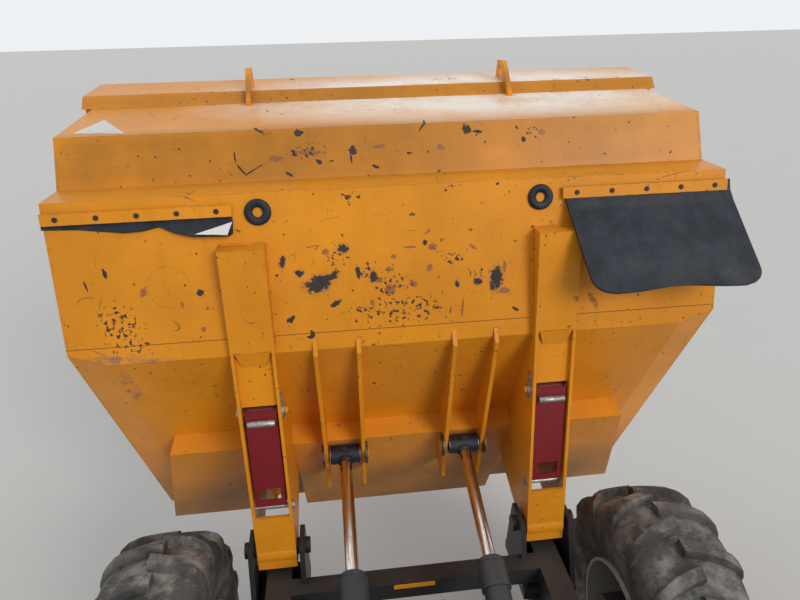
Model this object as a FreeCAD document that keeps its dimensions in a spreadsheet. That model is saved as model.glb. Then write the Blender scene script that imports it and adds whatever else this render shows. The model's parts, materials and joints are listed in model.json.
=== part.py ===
"""Site dumper with a forward tipping skip, articulated steering and a folding roll bar.

Millimetres and degrees. +X is forward, +Y is the machine's left, +Z is up, and the tyres
stand on z = 0. Lengths along the machine are first taken from the articulation pin and then
shifted by one value, so that the origin is the middle of the floor space that it takes up.
The skip is drawn as carried, level, from its own pivot, and is then tipped about that pivot.
"""
import FreeCAD, Part
import math
import os
import re
import Sketcher

V = FreeCAD.Vector
doc = FreeCAD.newDocument("SiteDumper")
sheet = doc.addObject("Spreadsheet::Sheet", "Sizes")

# Driving dimensions in millimetres and degrees
SIZES = {
    # whole machine, along x from the articulation pin
    "pivot_ahead": 1360, "pivot_up": 945, "front_axle_ahead": 1140, "rear_axle_behind": 1250,
    "hitch_reach": 2190, "tip_angle": 90, "running_gap": 6, "seat_gap": 0.3,
    # wheels
    "wheel_up": 545, "half_track": 990, "tyre_width": 405, "carcass_inset": 38, "bead_radius": 262,
    "lug_length": 92, "lug_lean": 70, "lug_gap": 24, "tread_half": 178,
    "shoulder_fall": 60,
    "rim_offset": 60, "rim_plate": 14, "hub_radius": 120, "hub_reach": 70,
    # skip, level, from its pivot
    "skip_half": 1180, "skip_sheet": 8, "lip_ahead": 347, "lip_up": 705, "lip_box_foot": 623,
    "fold_behind": 864, "fold_up": 61, "step_behind": 358, "step_deep": 43, "step_foot_up": 249,
    "ledge_behind": 1423, "ledge_up": 159, "foot_behind": 1425, "foot_up": 315,
    "knee_behind": 1592, "knee_up": 391, "wall_lean": 66, "rim_up": 1129,
    "shoulder_behind": 420, "mouth_back": 47, "mouth_up": 190, "corner_chamfer": 130,
    "rim_deep": 42, "rim_high": 256, "rim_front_high": 90, "lip_box_half": 1140,
    "lip_box_back_half": 965, "corner_rise": 28,
    # arms of the skip
    "arm_in": 472, "arm_out": 627, "arm_sheet": 12, "arm_top_behind": 1255, "arm_top_up": 63,
    "arm_toe": 55, "arm_front_behind": 60, "arm_slot_near": 190, "arm_slot_far": 665,
    "arm_fold_behind": 885, "arm_recess": 20,
    "pivot_pin_radius": 32, "pivot_boss_radius": 55,
    # safety props in the arms
    "prop_pin_behind": 628, "prop_pin_inset": 45, "prop_length": 400, "prop_width": 118,
    "prop_sheet": 6, "prop_depth": 60, "prop_pin_radius": 14,
    # tipping rams
    "ram_half_gap": 254, "ram_eye_behind": 262, "ram_eye_up": 222, "ram_eye_radius": 38,
    "ram_eye_width": 126, "ram_rod_radius": 25, "ram_barrel_radius": 47, "ram_gland_radius": 54,
    "ram_gland_length": 90, "ram_barrel_length": 771, "ram_foot_ahead": 325, "ram_foot_up": 825,
    "ram_foot_radius": 45, "bracket_sheet": 16, "bracket_gap": 140, "bracket_back_behind": 850,
    "bracket_tip_behind": 900,
    "bracket_back_up": 36, "bracket_front_behind": 58, "bracket_front_up": 262,
    # front frame
    "rail_in": 500, "rail_out": 600, "rail_foot": 690, "rail_top": 850, "rail_back": 130,
    "rail_front": 1500, "tower_sheet": 20, "tower_gap": 13, "tower_radius": 80, "tower_foot_half": 170,
    "cross_ahead": 1240, "cross_half": 40, "back_beam_deep": 130, "pad_ahead": 300, "pad_half": 50,
    "pad_top": 978,
    # articulation
    "pin_radius": 35, "pin_foot": 596, "pin_head": 880, "lug_sheet": 30, "lug_radius": 95,
    "knuckle_foot": 640, "knuckle_head": 800,
    # axles
    "axle_radius": 75, "axle_case_radius": 165, "axle_case_half": 120, "axle_half": 845,
    "axle_pad_half": 90, "shaft_radius": 38,
    # rear frame
    "frame_out": 360, "frame_sheet": 20, "frame_foot": 625, "frame_top": 850, "frame_front": 240,
    "frame_back": 2010, "weight_back": 2090, "weight_half": 420, "weight_foot": 470, "weight_top": 880,
    "hitch_radius": 60, "hitch_bore": 16, "hitch_up": 620, "hitch_jaw": 70, "hitch_sheet": 22,
    # driver's place
    "deck_front": 430, "deck_back": 1060, "deck_half": 640, "deck_sheet": 6,
    "console_front": 700, "console_back": 850, "console_half": 190, "console_up": 1400,
    "console_lean": 90, "console_sheet": 5, "helm_behind": 965, "helm_rise": 100, "helm_radius": 190,
    "helm_bar": 14,
    "helm_tilt": 32, "helm_stem": 24, "helm_stem_length": 200,
    "seat_box_front": 1080, "seat_box_back": 1530, "seat_box_half": 355,
    "seat_box_up": 1130, "seat_box_sheet": 6, "seat_half": 245, "seat_thick": 110,
    "seat_back_up": 1690, "seat_lean": 70,
    # engine, bonnet
    "engine_front": 1430, "engine_back": 1960, "engine_half": 240, "engine_foot": 560,
    "engine_top": 1110, "bonnet_front": 1665, "bonnet_back": 2060, "bonnet_half": 365,
    "bonnet_foot": 890, "bonnet_up": 1290, "bonnet_sheet": 5, "bonnet_slope": 110,
    "hinge_out": 16, "hinge_far": 110, "hinge_near": 30, "bonnet_pin_radius": 8,
    "louvre_high": 18,
    # roll bar
    "post_behind": 1600, "post_mid": 470, "post_width": 80, "post_foot": 640, "post_hinge": 1700,
    "hoop_up": 2720, "hoop_corner": 160, "hinge_radius": 16, "hinge_cheek": 12, "beacon_radius": 62,
    "beacon_high": 130,
    # mudguards, steps, tank
    "guard_front": 800, "guard_back": 1790, "guard_in": 540, "guard_out": 1190, "guard_up": 1160,
    "guard_sheet": 5, "guard_fall": 210, "step_front": 500, "step_back": 690, "step_up": 430,
    "step_out": 700, "step_in": 400, "tank_front": 460, "tank_back": 690, "tank_foot": 500,
    # steering ram
    "helm_ram_side": 300, "helm_ram_back": 450, "helm_ram_ahead": 430, "helm_ram_up": 580,
    "helm_rod_radius": 18, "helm_barrel_radius": 36, "helm_barrel_length": 560, "helm_eye_radius": 32,
    "helm_rod_length": 615, "helm_pin_radius": 14,
    # flaps under the ledge, lifting eyes
    "strip_inset": 30, "strip_high": 38, "flap_in": 570, "flap_over": 20, "flap_drop": 290,
    "flap_bulge": 235, "flap_thick": 12, "eye_sheet": 20, "eye_high": 85, "eye_long": 130, "eye_bore": 24,
}

COUNTS = {"lug_count": 16, "louvre_count": 7}

for row, (alias, value) in enumerate({**SIZES, **COUNTS}.items(), start=1):
    sheet.set("A%d" % row, alias)
    sheet.set("B%d" % row, str(value))
    sheet.setAlias("B%d" % row, alias)
doc.recompute()

# How far the middle of the machine is ahead of the articulation pin
SHIFT = "(hitch_reach - pivot_ahead - rim_up * sin(tip_angle * 1deg)) / 2"


def tie(text):
    """Point each name in a formula at its cell."""
    known = SIZES | COUNTS
    return re.sub(r"[a-z]\w*", lambda word: "Sizes." + word[0] if word[0] in known else word[0], str(text))


def bind(thing, prop, text):
    thing.setExpression(prop, tie(text))


def place(thing, x=0, y=0, z=0, turn=None, angle=None):
    """Put a finished object at a point, turned about an axis."""
    if angle is not None:
        thing.Placement = FreeCAD.Placement(V(), FreeCAD.Rotation(turn, 10))
        bind(thing, "Placement.Rotation.Angle", angle)
    for axis, text in (("x", x), ("y", y), ("z", z)):
        bind(thing, "Placement.Base." + axis, text)
    return thing


def block(name, across_x, across_y, across_z):
    """A box between two bounds on each axis."""
    box = doc.addObject("Part::Box", name)
    for prop, axis, (low, high) in (("Length", "x", across_x), ("Width", "y", across_y),
                                    ("Height", "z", across_z)):
        bind(box, prop, "(%s) - (%s)" % (high, low))
        bind(box, "Placement.Base." + axis, low)
    return box


def bar(name, along, radius, span, centre):
    """A round bar along one axis, between two bounds, at two centre coordinates."""
    pin = doc.addObject("Part::Cylinder", name)
    low, high = span
    bind(pin, "Radius", radius)
    bind(pin, "Height", "(%s) - (%s)" % (high, low))
    turn = {"x": FreeCAD.Rotation(V(0, 1, 0), 90), "y": FreeCAD.Rotation(V(1, 0, 0), -90),
            "z": FreeCAD.Rotation()}[along]
    pin.Placement = FreeCAD.Placement(V(), turn)
    rest = [axis for axis in "xyz" if axis != along]
    bind(pin, "Placement.Base." + along, low)
    bind(pin, "Placement.Base." + rest[0], centre[0])
    bind(pin, "Placement.Base." + rest[1], centre[1])
    return pin


def join(name, pieces):
    whole = doc.addObject("Part::MultiFuse", name)
    whole.Shapes = pieces
    return whole


def group(name, pieces):
    """Solids that don't touch, kept in one piece of the assembly."""
    whole = doc.addObject("Part::Compound", name)
    whole.Links = pieces
    return whole


def cut(name, base, tools):
    hole = doc.addObject("Part::Cut", name)
    hole.Base = base
    hole.Tool = tools[0] if len(tools) == 1 else join(name + "Tools", tools)
    return hole


def outline(body, name, plane, points, offset):
    """A closed sketch of straight lines whose corners are set by formulas."""
    origin = [f for f in body.Origin.OriginFeatures if f.Role == plane][0]
    sketch = body.newObject("Sketcher::SketchObject", name)
    sketch.AttachmentSupport = [(origin, "")]
    sketch.MapMode = "FlatFace"
    bind(sketch, "AttachmentOffset.Base.z", offset)
    count = len(points)
    turn = 2 * math.pi / count
    ring = [V(100 * math.cos(turn * i), 100 * math.sin(turn * i), 0) for i in range(count)]
    for i in range(count):
        sketch.addGeometry(Part.LineSegment(ring[i], ring[(i + 1) % count]))
    for i in range(count):
        sketch.addConstraint(Sketcher.Constraint("Coincident", i, 2, (i + 1) % count, 1))
    for i, (across, up) in enumerate(points):
        for kind, start, text in (("DistanceX", ring[i].x, across), ("DistanceY", ring[i].y, up)):
            index = sketch.addConstraint(Sketcher.Constraint(kind, i, 1, start))
            bind(sketch, "Constraints[%d]" % index, text)
    return sketch


def plate(name, plane, points, span):
    """A flat profile made thick between two bounds on the axis across its plane."""
    low, high = span
    body = doc.addObject("PartDesign::Body", name)
    offset = "-(%s)" % high if plane == "XZ_Plane" else low
    sketch = outline(body, name + "Outline", plane, points, offset)
    pad = body.newObject("PartDesign::Pad", name + "Pad")
    pad.Profile = sketch
    bind(pad, "Length", "(%s) - (%s)" % (high, low))
    doc.recompute()
    return body


def turned(name, points):
    """A profile in the YZ plane turned about the Y axis."""
    body = doc.addObject("PartDesign::Body", name)
    sketch = outline(body, name + "Outline", "YZ_Plane", points, "0")
    turning = body.newObject("PartDesign::Revolution", name + "Turning")
    turning.Profile = sketch
    turning.ReferenceAxis = (sketch, ["H_Axis"])
    turning.Angle = 360
    doc.recompute()
    return body


def edges_where(shape, test):
    """Names of the edges whose middle passes a test."""
    return ["Edge%d" % (i + 1) for i, edge in enumerate(shape.Edges) if test(edge.CenterOfMass, edge)]


def soften(body, test, radius, kind="Fillet", rise=None):
    """Round or bevel chosen edges of a body, a bevel as far up as it goes across unless told."""
    base = body.Tip
    feature = body.newObject("PartDesign::" + kind, body.Name + kind + str(len(body.Group)))
    feature.Base = (base, edges_where(base.Shape, test))
    bind(feature, "Radius" if kind == "Fillet" else "Size", radius)
    if rise is not None:
        feature.ChamferType = "Two distances"
        bind(feature, "Size2", rise)
    doc.recompute()
    return body


def hollow(body, test, wall):
    """Turn a solid body into sheet of one thickness, open at the chosen faces."""
    solid = body.Tip
    shell = body.newObject("PartDesign::Thickness", body.Name + "Sheet")
    shell.Base = (solid, ["Face%d" % (i + 1) for i, face in enumerate(solid.Shape.Faces)
                          if test(face.CenterOfMass)])
    bind(shell, "Value", wall)
    shell.Reversed = True
    shell.Join = 1
    doc.recompute()
    return body


NODES = []


def node(thing, label):
    """Name a finished piece of the assembly."""
    thing.Label = label
    NODES.append(thing)
    return thing


def on_machine(thing, label):
    """A piece drawn from the articulation pin."""
    return node(place(thing, x=SHIFT), label)


def on_skip(thing, label):
    """A piece drawn level from the skip's pivot, tipped with the skip."""
    tipped = place(thing, "(%s) + pivot_ahead" % SHIFT, 0, "pivot_up", V(0, 1, 0), "tip_angle")
    return node(tipped, label)


SIDES = (("left", "1"), ("right", "-1"))


def sided(sign, inner, outer):
    """Bounds across the machine for a piece on one side."""
    return (inner, outer) if sign == "1" else ("-(%s)" % outer, "-(%s)" % inner)


# Lines of the skip's section, as heights above the pivot at a distance behind it
FLOOR_SLOPE = "((lip_up - fold_up) / (lip_ahead + fold_behind))"
TAIL_SLOPE = "((ledge_up - fold_up) / (ledge_behind - fold_behind))"
BOX_SLOPE = "((lip_box_foot - step_foot_up) / (lip_ahead + step_behind - step_deep))"
ARM_SLOPE = "((arm_top_up + arm_toe) / (arm_top_behind + arm_toe))"
WALL_SLOPE = "(wall_lean / (rim_up - knee_up))"


def floor_up(behind):
    return "(fold_up + (fold_behind - (%s)) * %s)" % (behind, FLOOR_SLOPE)


def tail_up(behind):
    return "(fold_up + ((%s) - fold_behind) * %s)" % (behind, TAIL_SLOPE)


def box_up(behind):
    return "(step_foot_up + (step_behind - step_deep - (%s)) * %s)" % (behind, BOX_SLOPE)


def arm_up(behind):
    return "(arm_top_up - (arm_top_behind - (%s)) * %s)" % (behind, ARM_SLOPE)


def wall_behind(height):
    return "(knee_behind + ((%s) - knee_up) * %s)" % (height, WALL_SLOPE)


def skip_pan():
    """Floor, tail and back wall in folded sheet, with the flat side sheets welded to them."""
    tub = plate("Tub", "XZ_Plane", [
        ("lip_ahead", "lip_up"), ("-fold_behind", "fold_up"), ("-ledge_behind", "ledge_up"),
        ("-foot_behind", "foot_up"), ("-knee_behind", "knee_up"),
        ("-" + wall_behind("rim_up"), "rim_up"), ("-shoulder_behind", "rim_up"),
        ("lip_ahead - mouth_back", "lip_up + mouth_up")], ("-skip_half", "skip_half"))
    fold = -SIZES["fold_behind"]
    side = SIZES["skip_half"]

    def floor_side(middle, edge):
        ends = sorted(v.X for v in edge.Vertexes)
        on_side = abs(abs(middle.y) - side) < 1
        return on_side and abs(ends[0] - fold) < 1 and ends[1] > 0 and middle.z < SIZES["lip_up"]
    soften(tub, floor_side, "corner_chamfer", "Chamfer", "corner_rise")
    hollow(tub, lambda p: abs(p.y) < 1 and p.z > SIZES["lip_up"] + 1 and p.x > -SIZES["knee_behind"] + 1,
           "skip_sheet")
    far = "3 * skip_half"
    inside = "skip_half - skip_sheet"
    room = block("PanRoom", ("-" + far, far), ("-(%s)" % inside, inside), ("-" + far, far))
    pan = doc.addObject("Part::Common", "SkipPan")
    pan.Base = tub
    pan.Tool = room
    on_skip(pan, "skip_pan")
    for side_name, sign in SIDES:
        outer = block("SideRoom" + side_name, ("-" + far, far), sided(sign, inside, far), ("-" + far, far))
        sheet_side = doc.addObject("Part::Common", "SkipSide" + side_name)
        sheet_side.Base = tub
        sheet_side.Tool = outer
        on_skip(sheet_side, "skip_side_" + side_name)


def skip_lip_box():
    """Closed stiffener under the pouring edge."""
    lip = plate("LipBox", "XZ_Plane", [
        ("lip_ahead", "lip_up"), ("lip_ahead", "lip_box_foot"), ("-step_behind + step_deep", "step_foot_up"),
        ("-step_behind", floor_up("step_behind"))], ("-lip_box_half", "lip_box_half"))
    far = "2 * lip_box_half"
    for side_name, sign in SIDES:
        taper = outline(lip, "LipTaper" + side_name, "XY_Plane", [
            ("lip_ahead + 1", sign + " * lip_box_half"), ("lip_ahead + 1", sign + " * " + far),
            ("-step_behind - 1", sign + " * " + far), ("-step_behind - 1", sign + " * lip_box_back_half")],
            "0")
        corner = lip.newObject("PartDesign::Pocket", "LipCorner" + side_name)
        corner.Profile = taper
        corner.Midplane = True
        bind(corner, "Length", far)
        doc.recompute()
    half_way = (SIZES["lip_up"] + SIZES["step_foot_up"]) / 2
    hollow(lip, lambda p: abs(p.y) < 1 and abs(p.x) < 2 * SIZES["step_deep"] and p.z > half_way, "skip_sheet")
    slots = []
    for side_name, sign in SIDES:
        slots.append(block("LipArm" + side_name, ("-2 * step_behind", "2 * lip_ahead"),
                           sided(sign, "arm_in", "arm_out"), ("0", "2 * lip_up")))
    return on_skip(cut("LipBoxCut", lip, slots), "skip_lip_box")


def skip_rim():
    """Deep hollow rim round the top of the back and sides."""
    foot = "rim_up - rim_high"
    back = plate("RimBack", "XZ_Plane", [
        ("-" + wall_behind("rim_up"), "rim_up"), ("-" + wall_behind("rim_up - rim_high - rim_deep"),
                                                 "rim_up - rim_high - rim_deep"),
        ("-%s - rim_deep" % wall_behind(foot), foot), ("-%s - rim_deep" % wall_behind("rim_up"), "rim_up")],
        ("-skip_half - rim_deep", "skip_half + rim_deep"))
    wall_middle = SIZES["knee_behind"] + SIZES["wall_lean"] * 0.75
    hollow(back, lambda p: abs(p.y) < 1 and p.x > -wall_middle - 8 and p.z < SIZES["rim_up"] - 1,
           "skip_sheet")
    pieces = [back]
    for side_name, sign in SIDES:
        side = plate("RimSide" + side_name, "XZ_Plane", [
            ("-" + wall_behind("rim_up"), "rim_up"), ("-" + wall_behind(foot), foot),
            ("-shoulder_behind - rim_high / 2", foot),
            ("lip_ahead - mouth_back", "lip_up + mouth_up - rim_front_high"),
            ("lip_ahead - mouth_back", "lip_up + mouth_up"), ("-shoulder_behind", "rim_up")],
            sided(sign, "skip_half", "skip_half + rim_deep"))
        hollow(side, lambda p: abs(abs(p.y) - SIZES["skip_half"]) < 1, "skip_sheet")
        pieces.append(side)
    return on_skip(join("SkipRim", pieces), "skip_rim")


def skip_arm(side_name, sign):
    """Channel arm under the skip with its slot for the safety prop and its pivot boss."""
    profile = [
        ("-arm_top_behind", "arm_top_up"), ("-arm_slot_far", arm_up("arm_slot_far")),
        ("arm_toe", "-arm_toe"), ("arm_toe", "0"), ("-arm_front_behind", box_up("arm_front_behind")),
        ("-arm_front_behind", floor_up("arm_front_behind")), ("-fold_behind", "fold_up"),
        ("-arm_top_behind", tail_up("arm_top_behind"))]
    cheeks = [
        plate("ArmInner" + side_name, "XZ_Plane", profile, sided(sign, "arm_in", "arm_in + arm_sheet")),
        plate("ArmOuter" + side_name, "XZ_Plane", profile, sided(sign, "arm_out - arm_sheet", "arm_out"))]
    inner = sided(sign, "arm_in + arm_sheet", "arm_out - arm_sheet")
    upper = plate("ArmUpper" + side_name, "XZ_Plane", [
        ("-arm_top_behind", "arm_top_up"), ("-arm_fold_behind", arm_up("arm_fold_behind")),
        ("-arm_fold_behind + arm_recess", arm_up("arm_fold_behind - arm_recess") + " + arm_recess"),
        ("-arm_slot_far", arm_up("arm_slot_far") + " + arm_recess"),
        ("-arm_slot_far", arm_up("arm_slot_far") + " + arm_recess + arm_sheet"),
        ("-arm_fold_behind + arm_recess",
         arm_up("arm_fold_behind - arm_recess") + " + arm_recess + arm_sheet"),
        ("-arm_fold_behind", arm_up("arm_fold_behind") + " + arm_sheet"),
        ("-arm_top_behind + arm_sheet", "arm_top_up + arm_sheet"),
        ("-arm_top_behind + arm_sheet", tail_up("arm_top_behind - arm_sheet")),
        ("-arm_top_behind", tail_up("arm_top_behind"))], inner)
    lower = plate("ArmLower" + side_name, "XZ_Plane", [
        ("-arm_slot_near", arm_up("arm_slot_near")), ("arm_toe", "-arm_toe"), ("arm_toe", "0"),
        ("arm_toe - arm_sheet", "0"), ("arm_toe - arm_sheet", "-arm_toe + arm_sheet"),
        ("-arm_slot_near", arm_up("arm_slot_near") + " + arm_sheet")], inner)
    boss = bar("ArmBoss" + side_name, "y", "pivot_boss_radius", sided(sign, "arm_in", "arm_out"), ("0", "0"))
    pin_room = bar("ArmBore" + side_name, "y", "pivot_pin_radius + 0.3",
                   sided(sign, "arm_in - 1", "arm_out + 1"), ("0", "0"))
    pin = bar("PropPin" + side_name, "y", "prop_pin_radius", sided(sign, "arm_in - 22", "arm_out + 12"),
              ("-prop_pin_behind", arm_up("prop_pin_behind") + " + prop_pin_inset"))
    arm = cut("Arm" + side_name, join("ArmWeld" + side_name, cheeks + [upper, lower, boss, pin]), [pin_room])
    return on_skip(arm, "skip_arm_" + side_name)


def ram_brackets():
    """Four cheek plates that carry the eyes of the two tipping rams."""
    cheeks = []
    half = "bracket_gap / 2"
    for side_name, sign in SIDES:
        for place_name, inner in (("In", "ram_half_gap - %s - bracket_sheet" % half),
                                  ("Out", "ram_half_gap + %s" % half)):
            cheeks.append(plate("Bracket" + place_name + side_name, "XZ_Plane", [
                ("-bracket_tip_behind", tail_up("bracket_tip_behind")),
                ("-bracket_back_behind", "bracket_back_up"), ("-bracket_front_behind", "bracket_front_up"),
                ("-bracket_front_behind", box_up("bracket_front_behind")),
                ("-step_behind + step_deep", "step_foot_up"), ("-step_behind", floor_up("step_behind")),
                ("-fold_behind", "fold_up")],
                sided(sign, inner, inner + " + bracket_sheet")))
            low = inner + " - 14" if place_name == "In" else inner + " + bracket_sheet"
            cheeks.append(bar("Retainer" + place_name + side_name, "y", "ram_eye_radius - 8",
                              sided(sign, low, low + " + 14"), ("-ram_eye_behind", "ram_eye_up")))
    return on_skip(join("RamBrackets", cheeks), "ram_brackets")


def lifting_eyes():
    """Two upright eye plates on the back of the rim, in line with the arms."""
    eyes = []
    middle = "(arm_in + arm_out) / 2"
    foot = "rim_up - rim_high"
    low = foot + " - rim_deep - 45"
    for side_name, sign in SIDES:
        fin = plate("Eye" + side_name, "XZ_Plane", [
            ("-" + wall_behind(low), low), ("-" + wall_behind(foot + " - rim_deep"), foot + " - rim_deep"),
            ("-%s - rim_deep" % wall_behind(foot), foot),
            ("-%s - rim_deep" % wall_behind(foot + " + eye_long"), foot + " + eye_long"),
            ("-%s - rim_deep - eye_high" % wall_behind(foot), foot + " + eye_long * 0.8"),
            ("-%s - rim_deep - eye_high" % wall_behind(foot), foot + " + eye_long * 0.2"),
            ("-%s - 15" % wall_behind(low), low)],
            sided(sign, middle + " - eye_sheet / 2", middle + " + eye_sheet / 2"))
        hole = bar("EyeHole" + side_name, "y", "eye_bore",
                   sided(sign, middle + " - eye_sheet", middle + " + eye_sheet"),
                   ("-%s - rim_deep - eye_high / 2" % wall_behind(foot), foot + " + eye_long / 2"))
        eyes.append(cut("EyePlate" + side_name, fin, [hole]))
    return on_skip(group("LiftingEyes", eyes), "lifting_eyes")


def flap(side_name, sign):
    """Rubber flap hung from a bolted strip under the tail of the skip."""
    top = "(ledge_behind - strip_inset)"
    whole = sign == "-1"
    drop = "flap_drop" if whole else "flap_drop / 4"
    bulge = "flap_bulge" if whole else "flap_bulge / 4"
    rubber = plate("Flap" + side_name, "XZ_Plane", [
        ("-" + top, tail_up(top)), ("-" + top, tail_up(top) + " - flap_thick"),
        ("-%s + strip_high" % top, tail_up(top + " - strip_high") + " - flap_thick"),
        ("-%s + (%s) * 0.6" % (top, drop), "%s - flap_thick - (%s) * 0.55" % (tail_up(top), bulge)),
        ("-%s + (%s)" % (top, drop), "%s - flap_thick - (%s)" % (tail_up(top), bulge)),
        ("-%s + (%s)" % (top, drop), "%s - (%s)" % (tail_up(top), bulge)),
        ("-%s + (%s) * 0.6" % (top, drop), "%s - (%s) * 0.55" % (tail_up(top), bulge)),
        ("-%s + strip_high" % top, tail_up(top + " - strip_high"))],
        sided(sign, "flap_in", "skip_half + flap_over"))
    return on_skip(rubber, "flap_" + side_name)


def flap_strips():
    """Steel clamping strips on the flaps."""
    strips = []
    top = "(ledge_behind - strip_inset)"
    for side_name, sign in SIDES:
        under = " - flap_thick"
        strips.append(plate("Strip" + side_name, "XZ_Plane", [
            ("-" + top, tail_up(top) + under),
            ("-%s + strip_high" % top, tail_up(top + " - strip_high") + under),
            ("-%s + strip_high" % top, tail_up(top + " - strip_high") + under + " - 6"),
            ("-" + top, tail_up(top) + under + " - 6")],
            sided(sign, "flap_in", "skip_half")))
    return on_skip(group("FlapStrips", strips), "flap_strips")


def prop(side_name, sign):
    """Safety prop stowed in its arm: a channel on a cross pin."""
    middle = "(arm_in + arm_out) / 2"
    web = block("PropWeb" + side_name, ("-prop_pin_radius", "prop_length"),
                ("-prop_width / 2", "prop_width / 2"), ("-prop_depth / 2", "-prop_depth / 2 + prop_sheet"))
    walls = [block("PropWall%s%d" % (side_name, i), ("-prop_pin_radius * 1.6", "prop_length"), span,
                   ("-prop_depth / 2", "prop_depth / 2"))
             for i, span in enumerate((("-prop_width / 2", "-prop_width / 2 + prop_sheet"),
                                       ("prop_width / 2 - prop_sheet", "prop_width / 2")))]
    tube = bar("PropTube" + side_name, "y", "prop_pin_radius + 6", ("-prop_width / 2", "prop_width / 2"),
               ("0", "0"))
    window = block("PropWindow" + side_name, ("prop_length * 0.8", "prop_length * 0.93"),
                   ("-prop_width / 2 + 18", "prop_width / 2 - 18"), ("-prop_depth", "0"))
    bore = bar("PropBore" + side_name, "y", "prop_pin_radius + seat_gap", ("-prop_width", "prop_width"),
               ("0", "0"))
    whole = cut("Prop" + side_name, join("PropWeld" + side_name, [web, tube] + walls), [window, bore])
    lean = "atan(%s)" % ARM_SLOPE
    x = "(%s) + pivot_ahead + (%s) * sin(tip_angle * 1deg) - prop_pin_behind * cos(tip_angle * 1deg)" % (
        SHIFT, arm_up("prop_pin_behind") + " + prop_pin_inset")
    z = "pivot_up + (%s) * cos(tip_angle * 1deg) + prop_pin_behind * sin(tip_angle * 1deg)" % (
        arm_up("prop_pin_behind") + " + prop_pin_inset")
    y = middle if sign == "1" else "-(%s)" % middle
    return node(place(whole, x, y, z, V(0, 1, 0), "tip_angle + (%s) / 1deg" % lean), "prop_" + side_name)


# Where the tipping rams point, with the skip as it stands
RAM_EYE_AHEAD = ("(pivot_ahead + ram_eye_up * sin(tip_angle * 1deg)"
                 " - ram_eye_behind * cos(tip_angle * 1deg))")
RAM_EYE_HEIGHT = ("(pivot_up + ram_eye_up * cos(tip_angle * 1deg)"
                  " + ram_eye_behind * sin(tip_angle * 1deg))")
RAM_ANGLE = "(atan((%s - ram_foot_up) / (%s - ram_foot_ahead)) / 1deg)" % (RAM_EYE_HEIGHT, RAM_EYE_AHEAD)


def tipping_ram(side_name, sign):
    """Barrel on the frame and rod to the skip, drawn along x from their own eyes."""
    half = ("-ram_eye_width / 2", "ram_eye_width / 2")
    foot = bar("RamFoot" + side_name, "y", "ram_foot_radius", half, ("0", "0"))
    tube = bar("RamTube" + side_name, "x", "ram_barrel_radius", ("0", "ram_barrel_length"), ("0", "0"))
    gland = bar("RamGland" + side_name, "x", "ram_gland_radius",
                ("ram_barrel_length - ram_gland_length", "ram_barrel_length"), ("0", "0"))
    bore = bar("RamBore" + side_name, "x", "ram_rod_radius + 0.5",
               ("ram_foot_radius + 20", "ram_barrel_length + 1"), ("0", "0"))
    pin_room = bar("RamFootBore" + side_name, "y", "ram_foot_radius - 19",
                   ("-ram_eye_width", "ram_eye_width"), ("0", "0"))
    barrel = cut("RamBarrel" + side_name, join("RamBarrelWeld" + side_name, [foot, tube, gland]),
                 [bore, pin_room])
    y = "ram_half_gap" if sign == "1" else "-ram_half_gap"
    node(place(barrel, "(%s) + ram_foot_ahead" % SHIFT, y, "ram_foot_up", V(0, -1, 0), RAM_ANGLE),
         "ram_barrel_" + side_name)
    eye = bar("RamEye" + side_name, "y", "ram_eye_radius", half, ("0", "0"))
    stem = bar("RamStem" + side_name, "x", "ram_rod_radius", ("-ram_barrel_length + 120", "0"), ("0", "0"))
    rod = join("RamRod" + side_name, [eye, stem])
    node(place(rod, "(%s) + %s" % (SHIFT, RAM_EYE_AHEAD), y, RAM_EYE_HEIGHT, V(0, -1, 0), RAM_ANGLE),
         "ram_rod_" + side_name)


def wheel(axle_name, x, side_name, sign):
    """Tyre with staggered lugs, and its dished rim and hub, turned about the wheel's own axis."""
    key = axle_name + side_name
    base = "wheel_up - carcass_inset"
    half = "tyre_width / 2"
    section = [
        ("tread_half", base), (half, base + " - shoulder_fall"), (half, "bead_radius + 90"),
        (half + " - 22", "bead_radius")]
    far_half = [("-(%s)" % across, radius) for across, radius in reversed(section)]
    tyre = turned("Tyre" + key, section + far_half)
    for row, (inner, outer) in enumerate((("-14", "tyre_width / 2 - 4"), ("14", "-tyre_width / 2 + 4"))):
        sketch = outline(tyre, "Lug%s%d" % (key, row), "XY_Plane", [
            ("-lug_length / 2 - lug_lean / 2", inner), ("lug_length / 2 - lug_lean / 2 - lug_gap", inner),
            ("lug_length / 2 + lug_lean / 2", outer), ("-lug_length / 2 + lug_lean / 2", outer)],
            "-wheel_up")
        sketch.Visibility = False
        lug = tyre.newObject("PartDesign::Pad", "LugPad%s%d" % (key, row))
        lug.Profile = sketch
        bind(lug, "Length", "carcass_inset + 70")
        ring = tyre.newObject("PartDesign::PolarPattern", "LugRing%s%d" % (key, row))
        ring.Originals = [lug]
        ring.Axis = ([f for f in tyre.Origin.OriginFeatures if f.Role == "Y_Axis"][0], [""])
        ring.Angle = 360
        bind(ring, "Occurrences", "lug_count")
        tyre.Tip = ring
        doc.recompute()
    place(tyre, "(%s) + (%s)" % (SHIFT, x), sign + " * half_track", "wheel_up")
    node(tyre, "tyre_%s_%s" % (axle_name, side_name))
    flange = "(tyre_width / 2 - 22)"
    face = "(rim_offset + rim_plate / 2)"
    rim = turned("Rim" + key, [(sign + " * " + across, radius) for across, radius in (
        ("-1 * " + flange, "bead_radius"), (flange, "bead_radius"), (flange, "bead_radius - 14"),
        (face, "bead_radius - 14"), (face, "hub_radius"), ("(rim_offset + hub_reach)", "hub_radius"),
        ("(rim_offset + hub_reach)", "0"), ("(rim_offset - rim_plate / 2)", "0"),
        ("(rim_offset - rim_plate / 2)", "bead_radius - 14"), ("-1 * " + flange, "bead_radius - 14"))])
    place(rim, "(%s) + (%s)" % (SHIFT, x), sign + " * half_track", "wheel_up")
    return node(rim, "rim_%s_%s" % (axle_name, side_name))


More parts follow.
